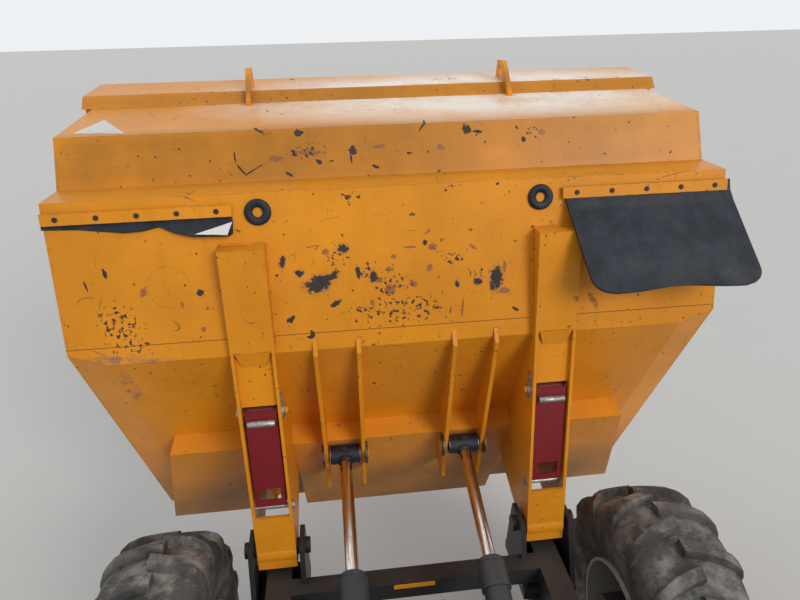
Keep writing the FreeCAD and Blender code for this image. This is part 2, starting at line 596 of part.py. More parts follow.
def axle(name, x, top):
    """Beam axle with its centre case, mounting pads and the stub of the drive shaft."""
    beam = bar("Beam" + name, "y", "axle_radius", ("-axle_half", "axle_half"), (x, "wheel_up"))
    case = bar("Case" + name, "y", "axle_case_radius", ("-axle_case_half", "axle_case_half"), (x, "wheel_up"))
    pads = []
    for side_name, sign in SIDES:
        pads.append(block("Pad" + name + side_name, ("(%s) - axle_pad_half" % x, "(%s) + axle_pad_half" % x),
                          sided(sign, top[0], top[1]), ("wheel_up", top[2])))
        pads.append(bar("HubStub" + name + side_name, "y", "hub_radius",
                        sided(sign, "axle_half - 60", "half_track + rim_offset - rim_plate / 2 - seat_gap"),
                        (x, "wheel_up")))
    shaft = (("(%s) - 1" % x, "110 + 1") if name == "Front" else ("-110 - 1", "(%s) + 1" % x))
    low, high = (shaft[1], shaft[0]) if name == "Front" else (shaft[1], shaft[0])
    line = bar("Shaft" + name, "x", "shaft_radius", (low, high), ("0", "wheel_up"))
    return on_machine(join("Axle" + name, [beam, case, line] + pads), name.lower() + "_axle")


def front_frame():
    """Rails, pivot towers, cross members and the articulation lugs."""
    pieces = []
    bores = []
    for side_name, sign in SIDES:
        pieces.append(block("Rail" + side_name, ("rail_back", "rail_front"),
                            sided(sign, "rail_in", "rail_out"),
                            ("rail_foot", "rail_top")))
        for place_name, inner in (("In", "arm_in - tower_gap - tower_sheet"), ("Out", "arm_out + tower_gap")):
            key = place_name + side_name
            span = sided(sign, inner, inner + " + tower_sheet")
            pieces.append(plate("Tower" + key, "XZ_Plane", [
                ("pivot_ahead - tower_foot_half", "rail_foot"),
                ("pivot_ahead + tower_foot_half * 0.7", "rail_foot"),
                ("pivot_ahead + tower_radius * 0.8", "pivot_up + tower_radius * 0.6"),
                ("pivot_ahead - tower_radius * 0.8", "pivot_up + tower_radius * 0.6")], span))
        foot = sided(sign, "arm_in - tower_gap - tower_sheet", "arm_out + tower_gap + tower_sheet")
        pieces.append(block("TowerFoot" + side_name,
                            ("pivot_ahead - tower_foot_half", "pivot_ahead + tower_foot_half * 0.7"),
                            foot, ("rail_foot", "rail_foot + 40")))
        pieces.append(bar("PivotPin" + side_name, "y", "pivot_pin_radius",
                          sided(sign, "arm_in - tower_gap - tower_sheet - 20",
                                "arm_out + tower_gap + tower_sheet + 20"),
                          ("pivot_ahead", "pivot_up")))
    pieces.append(block("CrossTube", ("cross_ahead - cross_half", "cross_ahead + cross_half"),
                        ("-rail_in", "rail_in"), ("rail_top - 2 * cross_half", "rail_top")))
    pieces.append(block("BackBeam", ("rail_back", "rail_back + back_beam_deep"), ("-rail_in", "rail_in"),
                        ("rail_foot", "rail_top")))
    for side_name, sign in SIDES:
        for place_name, middle in (("In", "ram_half_gap - ram_eye_width / 2 - bracket_sheet - 1"),
                                   ("Out", "ram_half_gap + ram_eye_width / 2 + 1")):
            pieces.append(plate("RamLug" + place_name + side_name, "XZ_Plane", [
                ("rail_back", "rail_top"), ("rail_back + back_beam_deep + 100", "rail_foot"),
                ("ram_foot_ahead + 60", "ram_foot_up - 20"), ("ram_foot_ahead + 40", "ram_foot_up + 50"),
                ("ram_foot_ahead - 60", "ram_foot_up + 50")],
                sided(sign, middle, middle + " + bracket_sheet")))
        pieces.append(bar("RamFootPin" + side_name, "y", "ram_foot_radius - 19.3",
                          sided(sign, "ram_half_gap - ram_eye_width / 2 - bracket_sheet - 6",
                                "ram_half_gap + ram_eye_width / 2 + bracket_sheet + 6"),
                          ("ram_foot_ahead", "ram_foot_up")))
    for i, (low, high) in enumerate((("knuckle_foot - running_gap - lug_sheet", "knuckle_foot - running_gap"),
                                     ("knuckle_head + running_gap",
                                      "knuckle_head + running_gap + lug_sheet"))):
        pieces.append(block("HingeLug%d" % i, ("0", "rail_back + 20"), ("-lug_radius", "lug_radius"),
                            (low, high)))
        pieces.append(bar("HingeEye%d" % i, "z", "lug_radius", (low, high), ("0", "0")))
    pieces.append(block("HingeWeb", ("lug_radius + 25", "rail_back + back_beam_deep"),
                        ("-lug_radius", "lug_radius"),
                        ("knuckle_foot - running_gap - lug_sheet", "rail_top")))
    pieces.append(bar("HingePin", "z", "pin_radius", ("pin_foot", "pin_head"), ("0", "0")))
    helm_x = "helm_ram_ahead"
    pieces.append(block("HelmLug", (helm_x + " - 45", helm_x + " + 45"),
                        ("helm_ram_side - 45", "rail_in + 1"),
                        ("helm_ram_up - helm_eye_radius - running_gap - 20",
                         "helm_ram_up - helm_eye_radius - running_gap")))
    pieces.append(block("HelmPost", (helm_x + " - 45", helm_x + " + 45"), ("rail_in - 20", "rail_in + 1"),
                        ("helm_ram_up - helm_eye_radius - 26", "rail_foot + 1")))
    return on_machine(join("FrontFrame", pieces), "front_chassis")


def rest_pads():
    """Rubber blocks on the rails that the arms come down to."""
    pads = [block("RestPad" + side_name, ("pad_ahead - pad_half", "pad_ahead + pad_half"),
                  sided(sign, "rail_in", "rail_out - 40"), ("rail_top", "pad_top"))
            for side_name, sign in SIDES]
    return on_machine(group("RestPads", pads), "rest_pads")


def rear_frame():
    """Side plates, bulkheads and the knuckle that the articulation pin passes through."""
    pieces = []
    for side_name, sign in SIDES:
        pieces.append(block("FrameSide" + side_name, ("-frame_back", "-frame_front"),
                            sided(sign, "frame_out - frame_sheet", "frame_out"), ("frame_foot", "frame_top")))
    for i, x in enumerate(("-frame_front - frame_sheet", "-deck_back", "-frame_back")):
        pieces.append(block("Bulkhead%d" % i, (x, x + " + frame_sheet"),
                            ("-frame_out + frame_sheet", "frame_out - frame_sheet"),
                            ("frame_foot", "frame_top")))
    neck = block("Neck", ("-frame_front", "0"), ("-lug_radius + 10", "lug_radius - 10"),
                 ("knuckle_foot", "knuckle_head"))
    sleeve = bar("Sleeve", "z", "lug_radius - 10", ("knuckle_foot", "knuckle_head"), ("0", "0"))
    helm = block("RearHelmLug", ("-helm_ram_back - 45", "-helm_ram_back + 45"),
                 ("helm_ram_side - 40", "frame_out"),
                 ("helm_ram_up + helm_eye_radius + running_gap",
                  "helm_ram_up + helm_eye_radius + running_gap + 20"))
    helm_pin = bar("RearHelmPin", "z", "helm_pin_radius",
                   ("helm_ram_up - helm_eye_radius - 4", "helm_ram_up + helm_eye_radius + running_gap + 1"),
                   ("-helm_ram_back", "helm_ram_side"))
    bore = bar("PinRoom", "z", "pin_radius + 0.4", ("pin_foot", "pin_head"), ("0", "0"))
    weld = join("RearFrameWeld", pieces + [neck, sleeve, helm, helm_pin])
    return on_machine(cut("RearFrame", weld, [bore]), "rear_chassis")


def counterweight():
    """Cast rear weight with the towing jaw."""
    mass = block("Weight", ("-weight_back", "-frame_back"), ("-weight_half", "weight_half"),
                 ("weight_foot", "weight_top"))
    jaws = []
    for i, z in enumerate(("hitch_up + hitch_jaw / 2", "hitch_up - hitch_jaw / 2 - hitch_sheet")):
        jaws.append(block("Jaw%d" % i, ("-hitch_reach + hitch_radius", "-weight_back"),
                          ("-hitch_radius", "hitch_radius"), (z, z + " + hitch_sheet")))
        jaws.append(bar("JawEnd%d" % i, "z", "hitch_radius", (z, z + " + hitch_sheet"),
                        ("-hitch_reach + hitch_radius", "0")))
    bore = bar("HitchBore", "z", "hitch_bore", ("hitch_up - hitch_jaw", "hitch_up + hitch_jaw"),
               ("-hitch_reach + hitch_radius", "0"))
    return on_machine(cut("Counterweight", join("WeightCast", [mass] + jaws + bonnet_hinge()), [bore]),
                      "counterweight")


def deck():
    """Foot platform with a hanging step and a kick plate on each side."""
    pieces = [block("DeckPlate", ("-deck_back", "-deck_front"), ("-deck_half", "deck_half"),
                    ("frame_top", "frame_top + deck_sheet"))]
    for side_name, sign in SIDES:
        for i, x in enumerate(("-step_back", "-step_front - 12")):
            pieces.append(block("StepHanger%s%d" % (side_name, i), (x, x + " + 12"),
                                sided(sign, "deck_half - 60", "deck_half"), ("step_up", "frame_top")))
        pieces.append(block("StepTread" + side_name, ("-step_back", "-step_front"),
                            sided(sign, "deck_half - 170", "step_out"), ("step_up", "step_up + 25")))
        pieces.append(block("DeckBeam" + side_name, ("-deck_back + 40", "-deck_back + 100"),
                            sided(sign, "frame_out", "deck_half"), ("frame_top - 60", "frame_top")))
    return on_machine(join("Deck", pieces), "platform")


def console():
    """Leaning sheet metal dash with the steering column standing on it."""
    profile = [
        ("-console_front", "frame_top + deck_sheet"), ("-console_front - console_lean / 2", "console_up"),
        ("-console_back - console_lean", "console_up - 90"), ("-console_back", "frame_top + deck_sheet")]
    shell = plate("Dash", "XZ_Plane", profile, ("-console_half", "console_half"))
    room = plate("ColumnRoom", "XZ_Plane", profile, ("-console_half", "console_half"))
    hollow(shell, lambda p: p.z < SIZES["frame_top"] + SIZES["deck_sheet"] + 1, "console_sheet")
    stem = bar("Stem", "z", "helm_stem", ("-helm_stem_length", "-30 - seat_gap"), ("0", "0"))
    gaiter = bar("Gaiter", "z", "helm_stem * 1.6", ("-helm_stem_length", "-helm_stem_length + 90"),
                 ("0", "0"))
    column = join("Column", [stem, gaiter])
    place(column, "-helm_behind", 0, "console_up + helm_rise", V(0, -1, 0), "helm_tilt")
    return on_machine(join("Console", [shell, cut("ColumnSeated", column, [room])]), "console")


def steering_wheel():
    """Ring, three spokes and hub on a tilted column."""
    ring = doc.addObject("PartDesign::Body", "HelmRing")
    corners = []
    for i in range(6):
        turn = math.radians(60 * i)
        corners.append(("helm_radius + helm_bar * %.4f" % math.cos(turn), "helm_bar * %.4f" % math.sin(turn)))
    section = outline(ring, "HelmRingSection", "XZ_Plane", corners, "0")
    turning = ring.newObject("PartDesign::Revolution", "HelmRingTurning")
    turning.Profile = section
    turning.ReferenceAxis = (section, ["V_Axis"])
    turning.Angle = 360
    doc.recompute()
    hub = bar("HelmHub", "z", "38", ("-30", "14"), ("0", "0"))
    spokes = []
    for i in range(3):
        spoke = block("HelmSpoke%d" % i, ("0", "helm_radius"), ("-12", "12"), ("-6", "4"))
        spoke.Placement = FreeCAD.Placement(V(), FreeCAD.Rotation(V(0, 0, 1), 90 + 120 * i))
        bind(spoke, "Placement.Base.z", "-6")
        bind(spoke, "Placement.Base.x", "12 * %r" % math.sin(math.radians(90 + 120 * i)))
        bind(spoke, "Placement.Base.y", "-12 * %r" % math.cos(math.radians(90 + 120 * i)))
        spokes.append(spoke)
    whole = join("Helm", [ring, hub] + spokes)
    place(whole, "(%s) - helm_behind" % SHIFT, 0, "console_up + helm_rise", V(0, -1, 0), "helm_tilt")
    return node(whole, "steering_wheel")


def seat():
    """Cushion and back."""
    cushion = block("Cushion", ("-seat_box_back + 30", "-seat_box_front + 20"), ("-seat_half", "seat_half"),
                    ("seat_box_up", "seat_box_up + seat_thick"))
    back = plate("SeatBack", "XZ_Plane", [
        ("-seat_box_back + 110", "seat_box_up + seat_thick"),
        ("-seat_box_back + 110 - seat_lean", "seat_back_up"),
        ("-seat_box_back + 20 - seat_lean", "seat_back_up"), ("-seat_box_back + 30", "seat_box_up")],
        ("-seat_half", "seat_half"))
    return on_machine(join("Seat", [cushion, back]), "seat")


def seat_box():
    """Hollow cover under the seat, open towards the engine."""
    outer = block("SeatBoxOuter", ("-seat_box_back", "-seat_box_front"), ("-seat_box_half", "seat_box_half"),
                  ("frame_top", "seat_box_up"))
    inner = block("SeatBoxInner", ("-seat_box_back - 1", "-seat_box_front - seat_box_sheet"),
                  ("-seat_box_half + seat_box_sheet", "seat_box_half - seat_box_sheet"),
                  ("frame_top - 1", "seat_box_up - seat_box_sheet"))
    return on_machine(cut("SeatBox", outer, [inner]), "seat_box")


def engine():
    """The engine as one plain block on the frame."""
    mass = block("EngineBlock", ("-engine_back", "-engine_front"), ("-engine_half", "engine_half"),
                 ("engine_foot", "engine_top"))
    mounts = block("EngineMount", ("-engine_back + 80", "-engine_back + 140"),
                   ("-frame_out + frame_sheet", "frame_out - frame_sheet"),
                   ("frame_top - 120", "frame_top - 60"))
    front = block("EngineMountFront", ("-engine_front - 140", "-engine_front - 80"),
                  ("-frame_out + frame_sheet", "frame_out - frame_sheet"),
                  ("frame_top - 120", "frame_top - 60"))
    return on_machine(join("Engine", [mass, mounts, front]), "engine")


def bonnet():
    """Hinged cover with louvred sides, and its rear grille."""
    profile = [
        ("-bonnet_front", "bonnet_foot"), ("-bonnet_back", "bonnet_foot"),
        ("-bonnet_back", "bonnet_up - bonnet_slope"), ("-bonnet_back + bonnet_slope", "bonnet_up"),
        ("-bonnet_front", "bonnet_up")]
    shell = plate("BonnetShell", "XZ_Plane", profile, ("-bonnet_half", "bonnet_half"))
    inner = [("-bonnet_front + 1", "bonnet_foot - 1"), ("-bonnet_back + bonnet_sheet", "bonnet_foot - 1"),
             ("-bonnet_back + bonnet_sheet", "bonnet_up - bonnet_slope - 2"),
             ("-bonnet_back + bonnet_slope + 2", "bonnet_up - bonnet_sheet"),
             ("-bonnet_front + 1", "bonnet_up - bonnet_sheet")]
    room = plate("BonnetRoom", "XZ_Plane", inner,
                 ("-bonnet_half + bonnet_sheet", "bonnet_half - bonnet_sheet"))
    slots = []
    pitch = "(bonnet_up - bonnet_slope - bonnet_foot - 60) / louvre_count"
    for i in range(COUNTS["louvre_count"]):
        z = "bonnet_foot + 40 + %d * (%s)" % (i, pitch)
        slots.append(block("Louvre%d" % i, ("-bonnet_back - 1", "-bonnet_back + bonnet_sheet + 1"),
                           ("-bonnet_half * 0.75", "bonnet_half * 0.75"), (z, z + " + louvre_high")))
    ears, bores = bonnet_tabs()
    hollow = cut("BonnetHollow", shell, [room] + slots)
    return on_machine(cut("Bonnet", join("BonnetWeld", [hollow] + ears), bores), "bonnet")


def bonnet_hinge():
    """Lugs on the weight with the pins that the bonnet turns about."""
    lugs = []
    for side_name, sign in SIDES:
        for i, inner in enumerate(("bonnet_half - hinge_far", "bonnet_half - hinge_near - 10")):
            lugs.append(block("BonnetLug%s%d" % (side_name, i),
                              ("-bonnet_back - hinge_out - 12", "-bonnet_back - hinge_out + 10"),
                              sided(sign, inner, inner + " + 10"),
                              ("weight_top - 1", "bonnet_foot + hinge_out + 12")))
        lugs.append(bar("BonnetPin" + side_name, "y", "bonnet_pin_radius",
                        sided(sign, "bonnet_half - hinge_far - 4", "bonnet_half - hinge_near + 4"),
                        ("-bonnet_back - hinge_out", "bonnet_foot + hinge_out")))
    return lugs


def bonnet_tabs():
    """Ears on the bonnet's rear edge, with their bores."""
    ears = []
    bores = []
    for side_name, sign in SIDES:
        span = sided(sign, "bonnet_half - hinge_far + 12", "bonnet_half - hinge_near - 12")
        centre = ("-bonnet_back - hinge_out", "bonnet_foot + hinge_out")
        ears.append(bar("Ear" + side_name, "y", "bonnet_pin_radius + 6", span, centre))
        ears.append(block("EarRoot" + side_name, ("-bonnet_back - hinge_out", "-bonnet_back + 1"), span,
                          ("bonnet_foot + hinge_out - 6", "bonnet_foot + hinge_out + 6")))
        bores.append(bar("EarBore" + side_name, "y", "bonnet_pin_radius + seat_gap", span, centre))
    return ears, bores


def roll_posts():
    """Fixed lower posts of the roll bar with their hinge cheeks."""
    pieces = []
    half = "post_width / 2"
    for side_name, sign in SIDES:
        post = block("Post" + side_name, ("-post_behind - %s" % half, "-post_behind + %s" % half),
                     sided(sign, "post_mid - %s" % half, "post_mid + %s" % half),
                     ("post_foot", "post_hinge - %s - 8" % half))
        bracket = block("PostFoot" + side_name, ("-post_behind - 90", "-post_behind + 90"),
                        sided(sign, "frame_out", "post_mid - %s" % half), ("post_foot", "frame_top"))
        cheeks = [block("Cheek%s%d" % (side_name, i), ("-post_behind - 45", "-post_behind + 45"),
                        sided(sign, low, low + " + hinge_cheek"), ("post_hinge - 180", "post_hinge + 45"))
                  for i, low in enumerate(("post_mid + %s + 1" % half,
                                           "post_mid - %s - 1 - hinge_cheek" % half))]
        pin = bar("PostPin" + side_name, "y", "hinge_radius",
                  sided(sign, "post_mid - %s - 14" % half, "post_mid + %s + 14" % half),
                  ("-post_behind", "post_hinge"))
        weld = block("CheekWeld" + side_name, ("-post_behind - 40", "-post_behind + 40"),
                     sided(sign, "post_mid - %s - 1" % half, "post_mid + %s + 1" % half),
                     ("post_hinge - 170", "post_hinge - %s - 8" % half))
        pieces += [post, bracket, pin, weld] + cheeks
    return on_machine(join("RollPosts", pieces), "roll_posts")


def roll_hoop():
    """Folding upper hoop: one square section bent round two corners."""
    half = "post_width / 2"
    outer = plate("HoopOuter", "YZ_Plane", [
        ("post_mid + %s" % half, "post_hinge"), ("post_mid + %s" % half, "hoop_up"),
        ("-post_mid - %s" % half, "hoop_up"), ("-post_mid - %s" % half, "post_hinge")],
        ("-post_behind - %s" % half, "-post_behind + %s" % half))
    top = SIZES["hoop_up"]
    soften(outer,
           lambda p, e: abs(p.z - top) < 1 and abs(p.y) > 10 and abs(e.Vertexes[0].X - e.Vertexes[-1].X) > 1,
           "hoop_corner")
    inner = plate("HoopInner", "YZ_Plane", [
        ("post_mid - %s" % half, "post_hinge - 200"), ("post_mid - %s" % half, "hoop_up - post_width"),
        ("-post_mid + %s" % half, "hoop_up - post_width"), ("-post_mid + %s" % half, "post_hinge - 200")],
        ("-post_behind - post_width", "-post_behind + post_width"))
    inner_top = SIZES["hoop_up"] - SIZES["post_width"]
    soften(inner, lambda p, e: abs(p.z - inner_top) < 1 and abs(p.y) > 10
           and abs(e.Vertexes[0].X - e.Vertexes[-1].X) > 1, "hoop_corner - post_width")
    knuckles = [bar("HoopKnuckle" + side_name, "y", half,
                    sided(sign, "post_mid - %s" % half, "post_mid + %s" % half),
                    ("-post_behind", "post_hinge"))
                for side_name, sign in SIDES]
    bores = [bar("HoopBore" + side_name, "y", "hinge_radius + 0.3",
                 sided(sign, "post_mid - post_width", "post_mid + post_width"),
                 ("-post_behind", "post_hinge"))
             for side_name, sign in SIDES]
    bent = cut("HoopBent", outer, [inner])
    return on_machine(cut("Hoop", join("HoopWeld", [bent] + knuckles), bores), "roll_hoop")


def beacon():
    """Flashing lamp on the hoop."""
    foot = bar("BeaconFoot", "z", "beacon_radius - 10", ("hoop_up", "hoop_up + 30"),
               ("-post_behind", "-post_mid / 2"))
    dome = bar("BeaconDome", "z", "beacon_radius", ("hoop_up + 30", "hoop_up + beacon_high"),
               ("-post_behind", "-post_mid / 2"))
    return on_machine(join("Beacon", [foot, dome]), "beacon")


def mudguards():
    """Folded rear mudguards with their stays."""
    pieces = []
    for side_name, sign in SIDES:
        pieces.append(plate("Guard" + side_name, "XZ_Plane", [
            ("-guard_front", "guard_up - guard_sheet"), ("-guard_front", "guard_up"),
            ("-guard_back + 160", "guard_up"),
            ("-guard_back", "guard_up - guard_fall"), ("-guard_back", "guard_up - guard_fall - 8"),
            ("-guard_back + 160", "guard_up - guard_sheet")],
            sided(sign, "guard_in", "guard_out")))
        for i, (x, foot) in enumerate((("-guard_front - 160", "frame_top + deck_sheet"),
                                       ("-post_behind + post_width / 2 + 60", "frame_top - 120"))):
            pieces.append(block("GuardStay%s%d" % (side_name, i), (x, x + " + 50"),
                                sided(sign, "frame_out", "guard_in + 50"),
                                ("guard_up - guard_sheet - 40", "guard_up - guard_sheet")))
            pieces.append(block("GuardLeg%s%d" % (side_name, i), (x, x + " + 50"),
                                sided(sign, "frame_out", "frame_out + 12"),
                                (foot, "guard_up - guard_sheet")))
    return on_machine(group("Mudguards", [join("GuardLeft", pieces[:5]), join("GuardRight", pieces[5:])]),
                      "mudguards")


def fuel_tank():
    """Tank beside the frame under the platform."""
    tank = block("Tank", ("-tank_back", "-tank_front"), ("-step_in - 70", "-frame_out"),
                 ("tank_foot", "frame_top"))
    filler = bar("Filler", "x", "32", ("-tank_front - 1", "-tank_front + 45"),
                 ("-step_in - 15", "frame_top - 70"))
    return on_machine(join("TankFiller", [tank, filler]), "fuel_tank")


def lamps():
    """Lamp housings at the rear of the mudguards and beside the dash."""
    pieces = []
    for side_name, sign in SIDES:
        pieces.append(block("RearLamp" + side_name, ("-weight_back - 30", "-weight_back"),
                            sided(sign, "weight_half - 160", "weight_half - 20"),
                            ("weight_top - 120", "weight_top - 40")))
        pieces.append(bar("HeadLamp" + side_name, "x", "62", ("-console_front - 90", "-console_front - 20"),
                          ("%s * (console_half + 90)" % sign, "console_up - 190")))
        pieces.append(block("LampArm" + side_name, ("-console_front - 80", "-console_front - 50"),
                            sided(sign, "console_half", "console_half + 90"),
                            ("console_up - 200", "console_up - 180")))
    join_left = [join("HeadLampWeld" + side_name, pieces[i:i + 2])
                 for side_name, i in (("left", 1), ("right", 4))]
    return on_machine(group("Lamps", [pieces[0], pieces[3]] + join_left), "lamps")


def steering_ram():
    """Barrel on the rear frame and rod to the front frame, beside the articulation."""
    foot = bar("HelmFoot", "z", "helm_eye_radius", ("-helm_eye_radius", "helm_eye_radius"), ("0", "0"))
    tube = bar("HelmTube", "x", "helm_barrel_radius", ("helm_eye_radius - 6", "helm_barrel_length"),
               ("0", "0"))
    bore = bar("HelmBore", "x", "helm_rod_radius + 0.5", ("helm_eye_radius + 40", "helm_barrel_length + 1"),
               ("0", "0"))
    pin_room = bar("HelmFootBore", "z", "helm_pin_radius + seat_gap",
                   ("-2 * helm_eye_radius", "2 * helm_eye_radius"),
                   ("0", "0"))
    barrel = cut("HelmBarrel", join("HelmBarrelWeld", [foot, tube]), [bore, pin_room])
    node(place(barrel, "(%s) - helm_ram_back" % SHIFT, "helm_ram_side", "helm_ram_up"), "steering_barrel")
    eye = bar("HelmEye", "z", "helm_eye_radius", ("-helm_eye_radius", "helm_eye_radius"), ("0", "0"))
    stem = bar("HelmStem", "x", "helm_rod_radius", ("-helm_rod_length", "0"), ("0", "0"))
    rod = join("HelmRod", [eye, stem])
    node(place(rod, "(%s) + helm_ram_ahead" % SHIFT, "helm_ram_side", "helm_ram_up"), "steering_rod")


front_frame()
rest_pads()
axle("Front", "front_axle_ahead", ("rail_in - 30", "rail_out + 30", "rail_foot"))
skip_pan()
skip_lip_box()
skip_rim()
ram_brackets()
lifting_eyes()
flap_strips()
for side_name, sign in SIDES:
    skip_arm(side_name, sign)
    flap(side_name, sign)
    prop(side_name, sign)
    tipping_ram(side_name, sign)
    wheel("front", "front_axle_ahead", side_name, sign)
    wheel("rear", "-rear_axle_behind", side_name, sign)
rear_frame()
axle("Rear", "-rear_axle_behind", ("frame_out - 90", "frame_out", "frame_foot"))
counterweight()
deck()
console()
steering_wheel()
seat_box()
seat()
engine()
bonnet()
roll_posts()
roll_hoop()
beacon()
mudguards()
fuel_tank()
lamps()
steering_ram()

doc.recompute()
for thing in doc.Objects:
    if "Invalid" in thing.State or "Error" in thing.State:
        raise RuntimeError("%s did not rebuild: %s" % (thing.Name, thing.State))
os.makedirs("parts", exist_ok=True)
for thing in NODES:
    if thing.Shape.isNull() or not thing.Shape.isValid():
        raise RuntimeError("%s has no sound shape" % thing.Label)
    thing.Shape.exportStep("parts/%s.step" % thing.Label)
    print("%-18s %2d solids %8.1f litres" % (thing.Label, len(thing.Shape.Solids), thing.Shape.Volume / 1e6))
print(len(NODES), "pieces")
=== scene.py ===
"""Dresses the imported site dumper: worn paint, tyres, rubber flaps, cushions, lamps and fixings."""
import json
import math

import bmesh
import bpy
from bpy.props import FloatProperty, FloatVectorProperty, IntProperty, PointerProperty
from mathutils import Matrix, Vector


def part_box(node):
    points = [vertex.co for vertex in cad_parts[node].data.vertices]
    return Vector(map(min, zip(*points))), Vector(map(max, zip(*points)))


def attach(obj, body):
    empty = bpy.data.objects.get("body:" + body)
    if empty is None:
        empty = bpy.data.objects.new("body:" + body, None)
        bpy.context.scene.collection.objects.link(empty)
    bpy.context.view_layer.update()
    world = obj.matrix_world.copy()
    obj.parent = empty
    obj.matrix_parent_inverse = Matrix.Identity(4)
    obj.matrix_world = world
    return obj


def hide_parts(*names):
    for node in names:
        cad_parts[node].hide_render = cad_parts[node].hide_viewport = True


bl_info = {
    "name": "Site Dumper Dressing",
    "version": (1, 0, 0),
    "blender": (4, 5, 0),
    "location": "3D View > Sidebar > Dumper",
    "description": "Tyres, flaps, cushions, lamps, fixings and worn finishes for a site dumper",
    "category": "Object",
}

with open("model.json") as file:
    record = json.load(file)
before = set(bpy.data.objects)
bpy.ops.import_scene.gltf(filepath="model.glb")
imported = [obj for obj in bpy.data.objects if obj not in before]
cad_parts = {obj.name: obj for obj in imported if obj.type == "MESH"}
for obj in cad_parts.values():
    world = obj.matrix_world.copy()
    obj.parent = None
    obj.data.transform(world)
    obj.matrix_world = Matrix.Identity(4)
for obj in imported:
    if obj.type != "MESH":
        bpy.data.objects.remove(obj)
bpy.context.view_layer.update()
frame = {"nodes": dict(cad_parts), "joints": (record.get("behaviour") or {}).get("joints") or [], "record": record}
NODES = frame["nodes"]


def joint(name):
    """Where a joint lies, which a sliding one leaves out, and which way its axis points."""
    found = next(j for j in frame["joints"] if j["name"] == name)
    return Vector(found.get("pos_m", (0, 0, 0))), Vector(found["axis"])


SIDES = (("left", 1), ("right", -1))
# Each wheel's ending, body and the way it faces
WHEELS = [("%s_%s" % (axle, side), "%s_wheel_%s" % (axle, side), sign) for axle in ("front", "rear")
          for side, sign in SIDES]
PIVOT = joint("skip_tip")[0]
WHEEL_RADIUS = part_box("tyre_front_left")[1].z / 2
TYRE_HALF = (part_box("tyre_front_left")[1].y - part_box("tyre_front_left")[0].y) / 2
# The folded back of the level skip: behind and above its pivot
SKIP_OUTLINE = ((0.864, 0.061), (1.423, 0.159), (1.425, 0.315), (1.592, 0.391))
TAIL_NORMAL = Vector((-0.985, 0, 0.1726))
FULL_TURN = 2 * math.pi
CORE = 0.0005  # radius of the pinhole that a turned solid keeps, so that its ends stay clean


def middle_of(node):
    low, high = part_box(node)
    return (low + high) / 2


def on_skip(behind, across, up):
    """A point given on the level skip, behind and above its pivot, as it stands tipped up."""
    return Vector((PIVOT.x + up, across, PIVOT.z + behind))


def skin(behind, across, lift=0.0):
    """A point on the skip's folded back, lifted off it towards the driver."""
    pairs = list(zip(SKIP_OUTLINE, SKIP_OUTLINE[1:]))
    (low, start), (high, end) = next((p for p in pairs if behind <= p[1][0]), pairs[-1])
    up = start + (behind - low) * (end - start) / (high - low)
    return on_skip(behind, across, up - lift)


# Shader groups

def new_tree(name, kind, inputs, output):
    """An empty node group: its named inputs as (label, socket, default), and its one output."""
    tree = bpy.data.node_groups.new(name, kind)
    for label, socket, default in inputs:
        made = tree.interface.new_socket(label, in_out="INPUT", socket_type="NodeSocket" + socket)
        if default is not None:
            made.default_value = default
    tree.interface.new_socket(output[0], in_out="OUTPUT", socket_type="NodeSocket" + output[1])
    return tree, tree.nodes.new("NodeGroupInput").outputs, tree.nodes.new("NodeGroupOutput").inputs[0]


def mask_group(name, **numbers):
    """An empty shader group that turns a place and some numbers into a mask."""
    floats = [(key.replace("_", " "), "Float", value) for key, value in numbers.items()]
    return new_tree(name, "ShaderNodeTree", [("Place", "Vector", None)] + floats, ("Mask", "Float"))


def feed(tree, socket, value):
    """Join a socket to another node's output, or give it a plain value."""
    if isinstance(value, bpy.types.NodeSocket):
        tree.links.new(value, socket)
    else:
        socket.default_value = value


def add(tree, kind, settings=None, **inputs):
    """One node with its settings and its inputs, by name or as i0, i1 and so on."""
    node = tree.nodes.new(kind)
    for key, value in (settings or {}).items():
        setattr(node, key, value)
    for key, value in inputs.items():
        by_number = key[0] == "i" and key[1:].isdigit()
        feed(tree, node.inputs[int(key[1:]) if by_number else key.replace("_", " ")], value)
    return node


def maths(tree, operation, *values, clamp=False):
    return add(tree, "ShaderNodeMath", {"operation": operation, "use_clamp": clamp},
               **{"i%d" % i: value for i, value in enumerate(values)}).outputs[0]


def measure(tree, operation, *vectors):
    """A number from vectors: a length, a distance or a dot product."""
    return add(tree, "ShaderNodeVectorMath", {"operation": operation},
               **{"i%d" % i: vector for i, vector in enumerate(vectors)}).outputs["Value"]


def ramp(tree, value, low, high, start=0.0, end=1.0):
    return add(tree, "ShaderNodeMapRange", None, Value=value, From_Min=low, From_Max=high,
               To_Min=start, To_Max=end).outputs[0]


def noise(tree, place, scale, detail=4.0, rough=0.55):
    return add(tree, "ShaderNodeTexNoise", None, Vector=place, Scale=scale, Detail=detail,
               Roughness=rough).outputs["Fac"]


def stretched(tree, place, scale, turn=(0, 0, 0)):
    return add(tree, "ShaderNodeMapping", None, Vector=place, Scale=scale, Rotation=turn).outputs[0]


def split(tree, vector):
    return add(tree, "ShaderNodeSeparateXYZ", None, Vector=vector).outputs


def facing_up(tree):
    """How far a face points up in the world."""
    return split(tree, add(tree, "ShaderNodeNewGeometry").outputs["Normal"])["Z"]


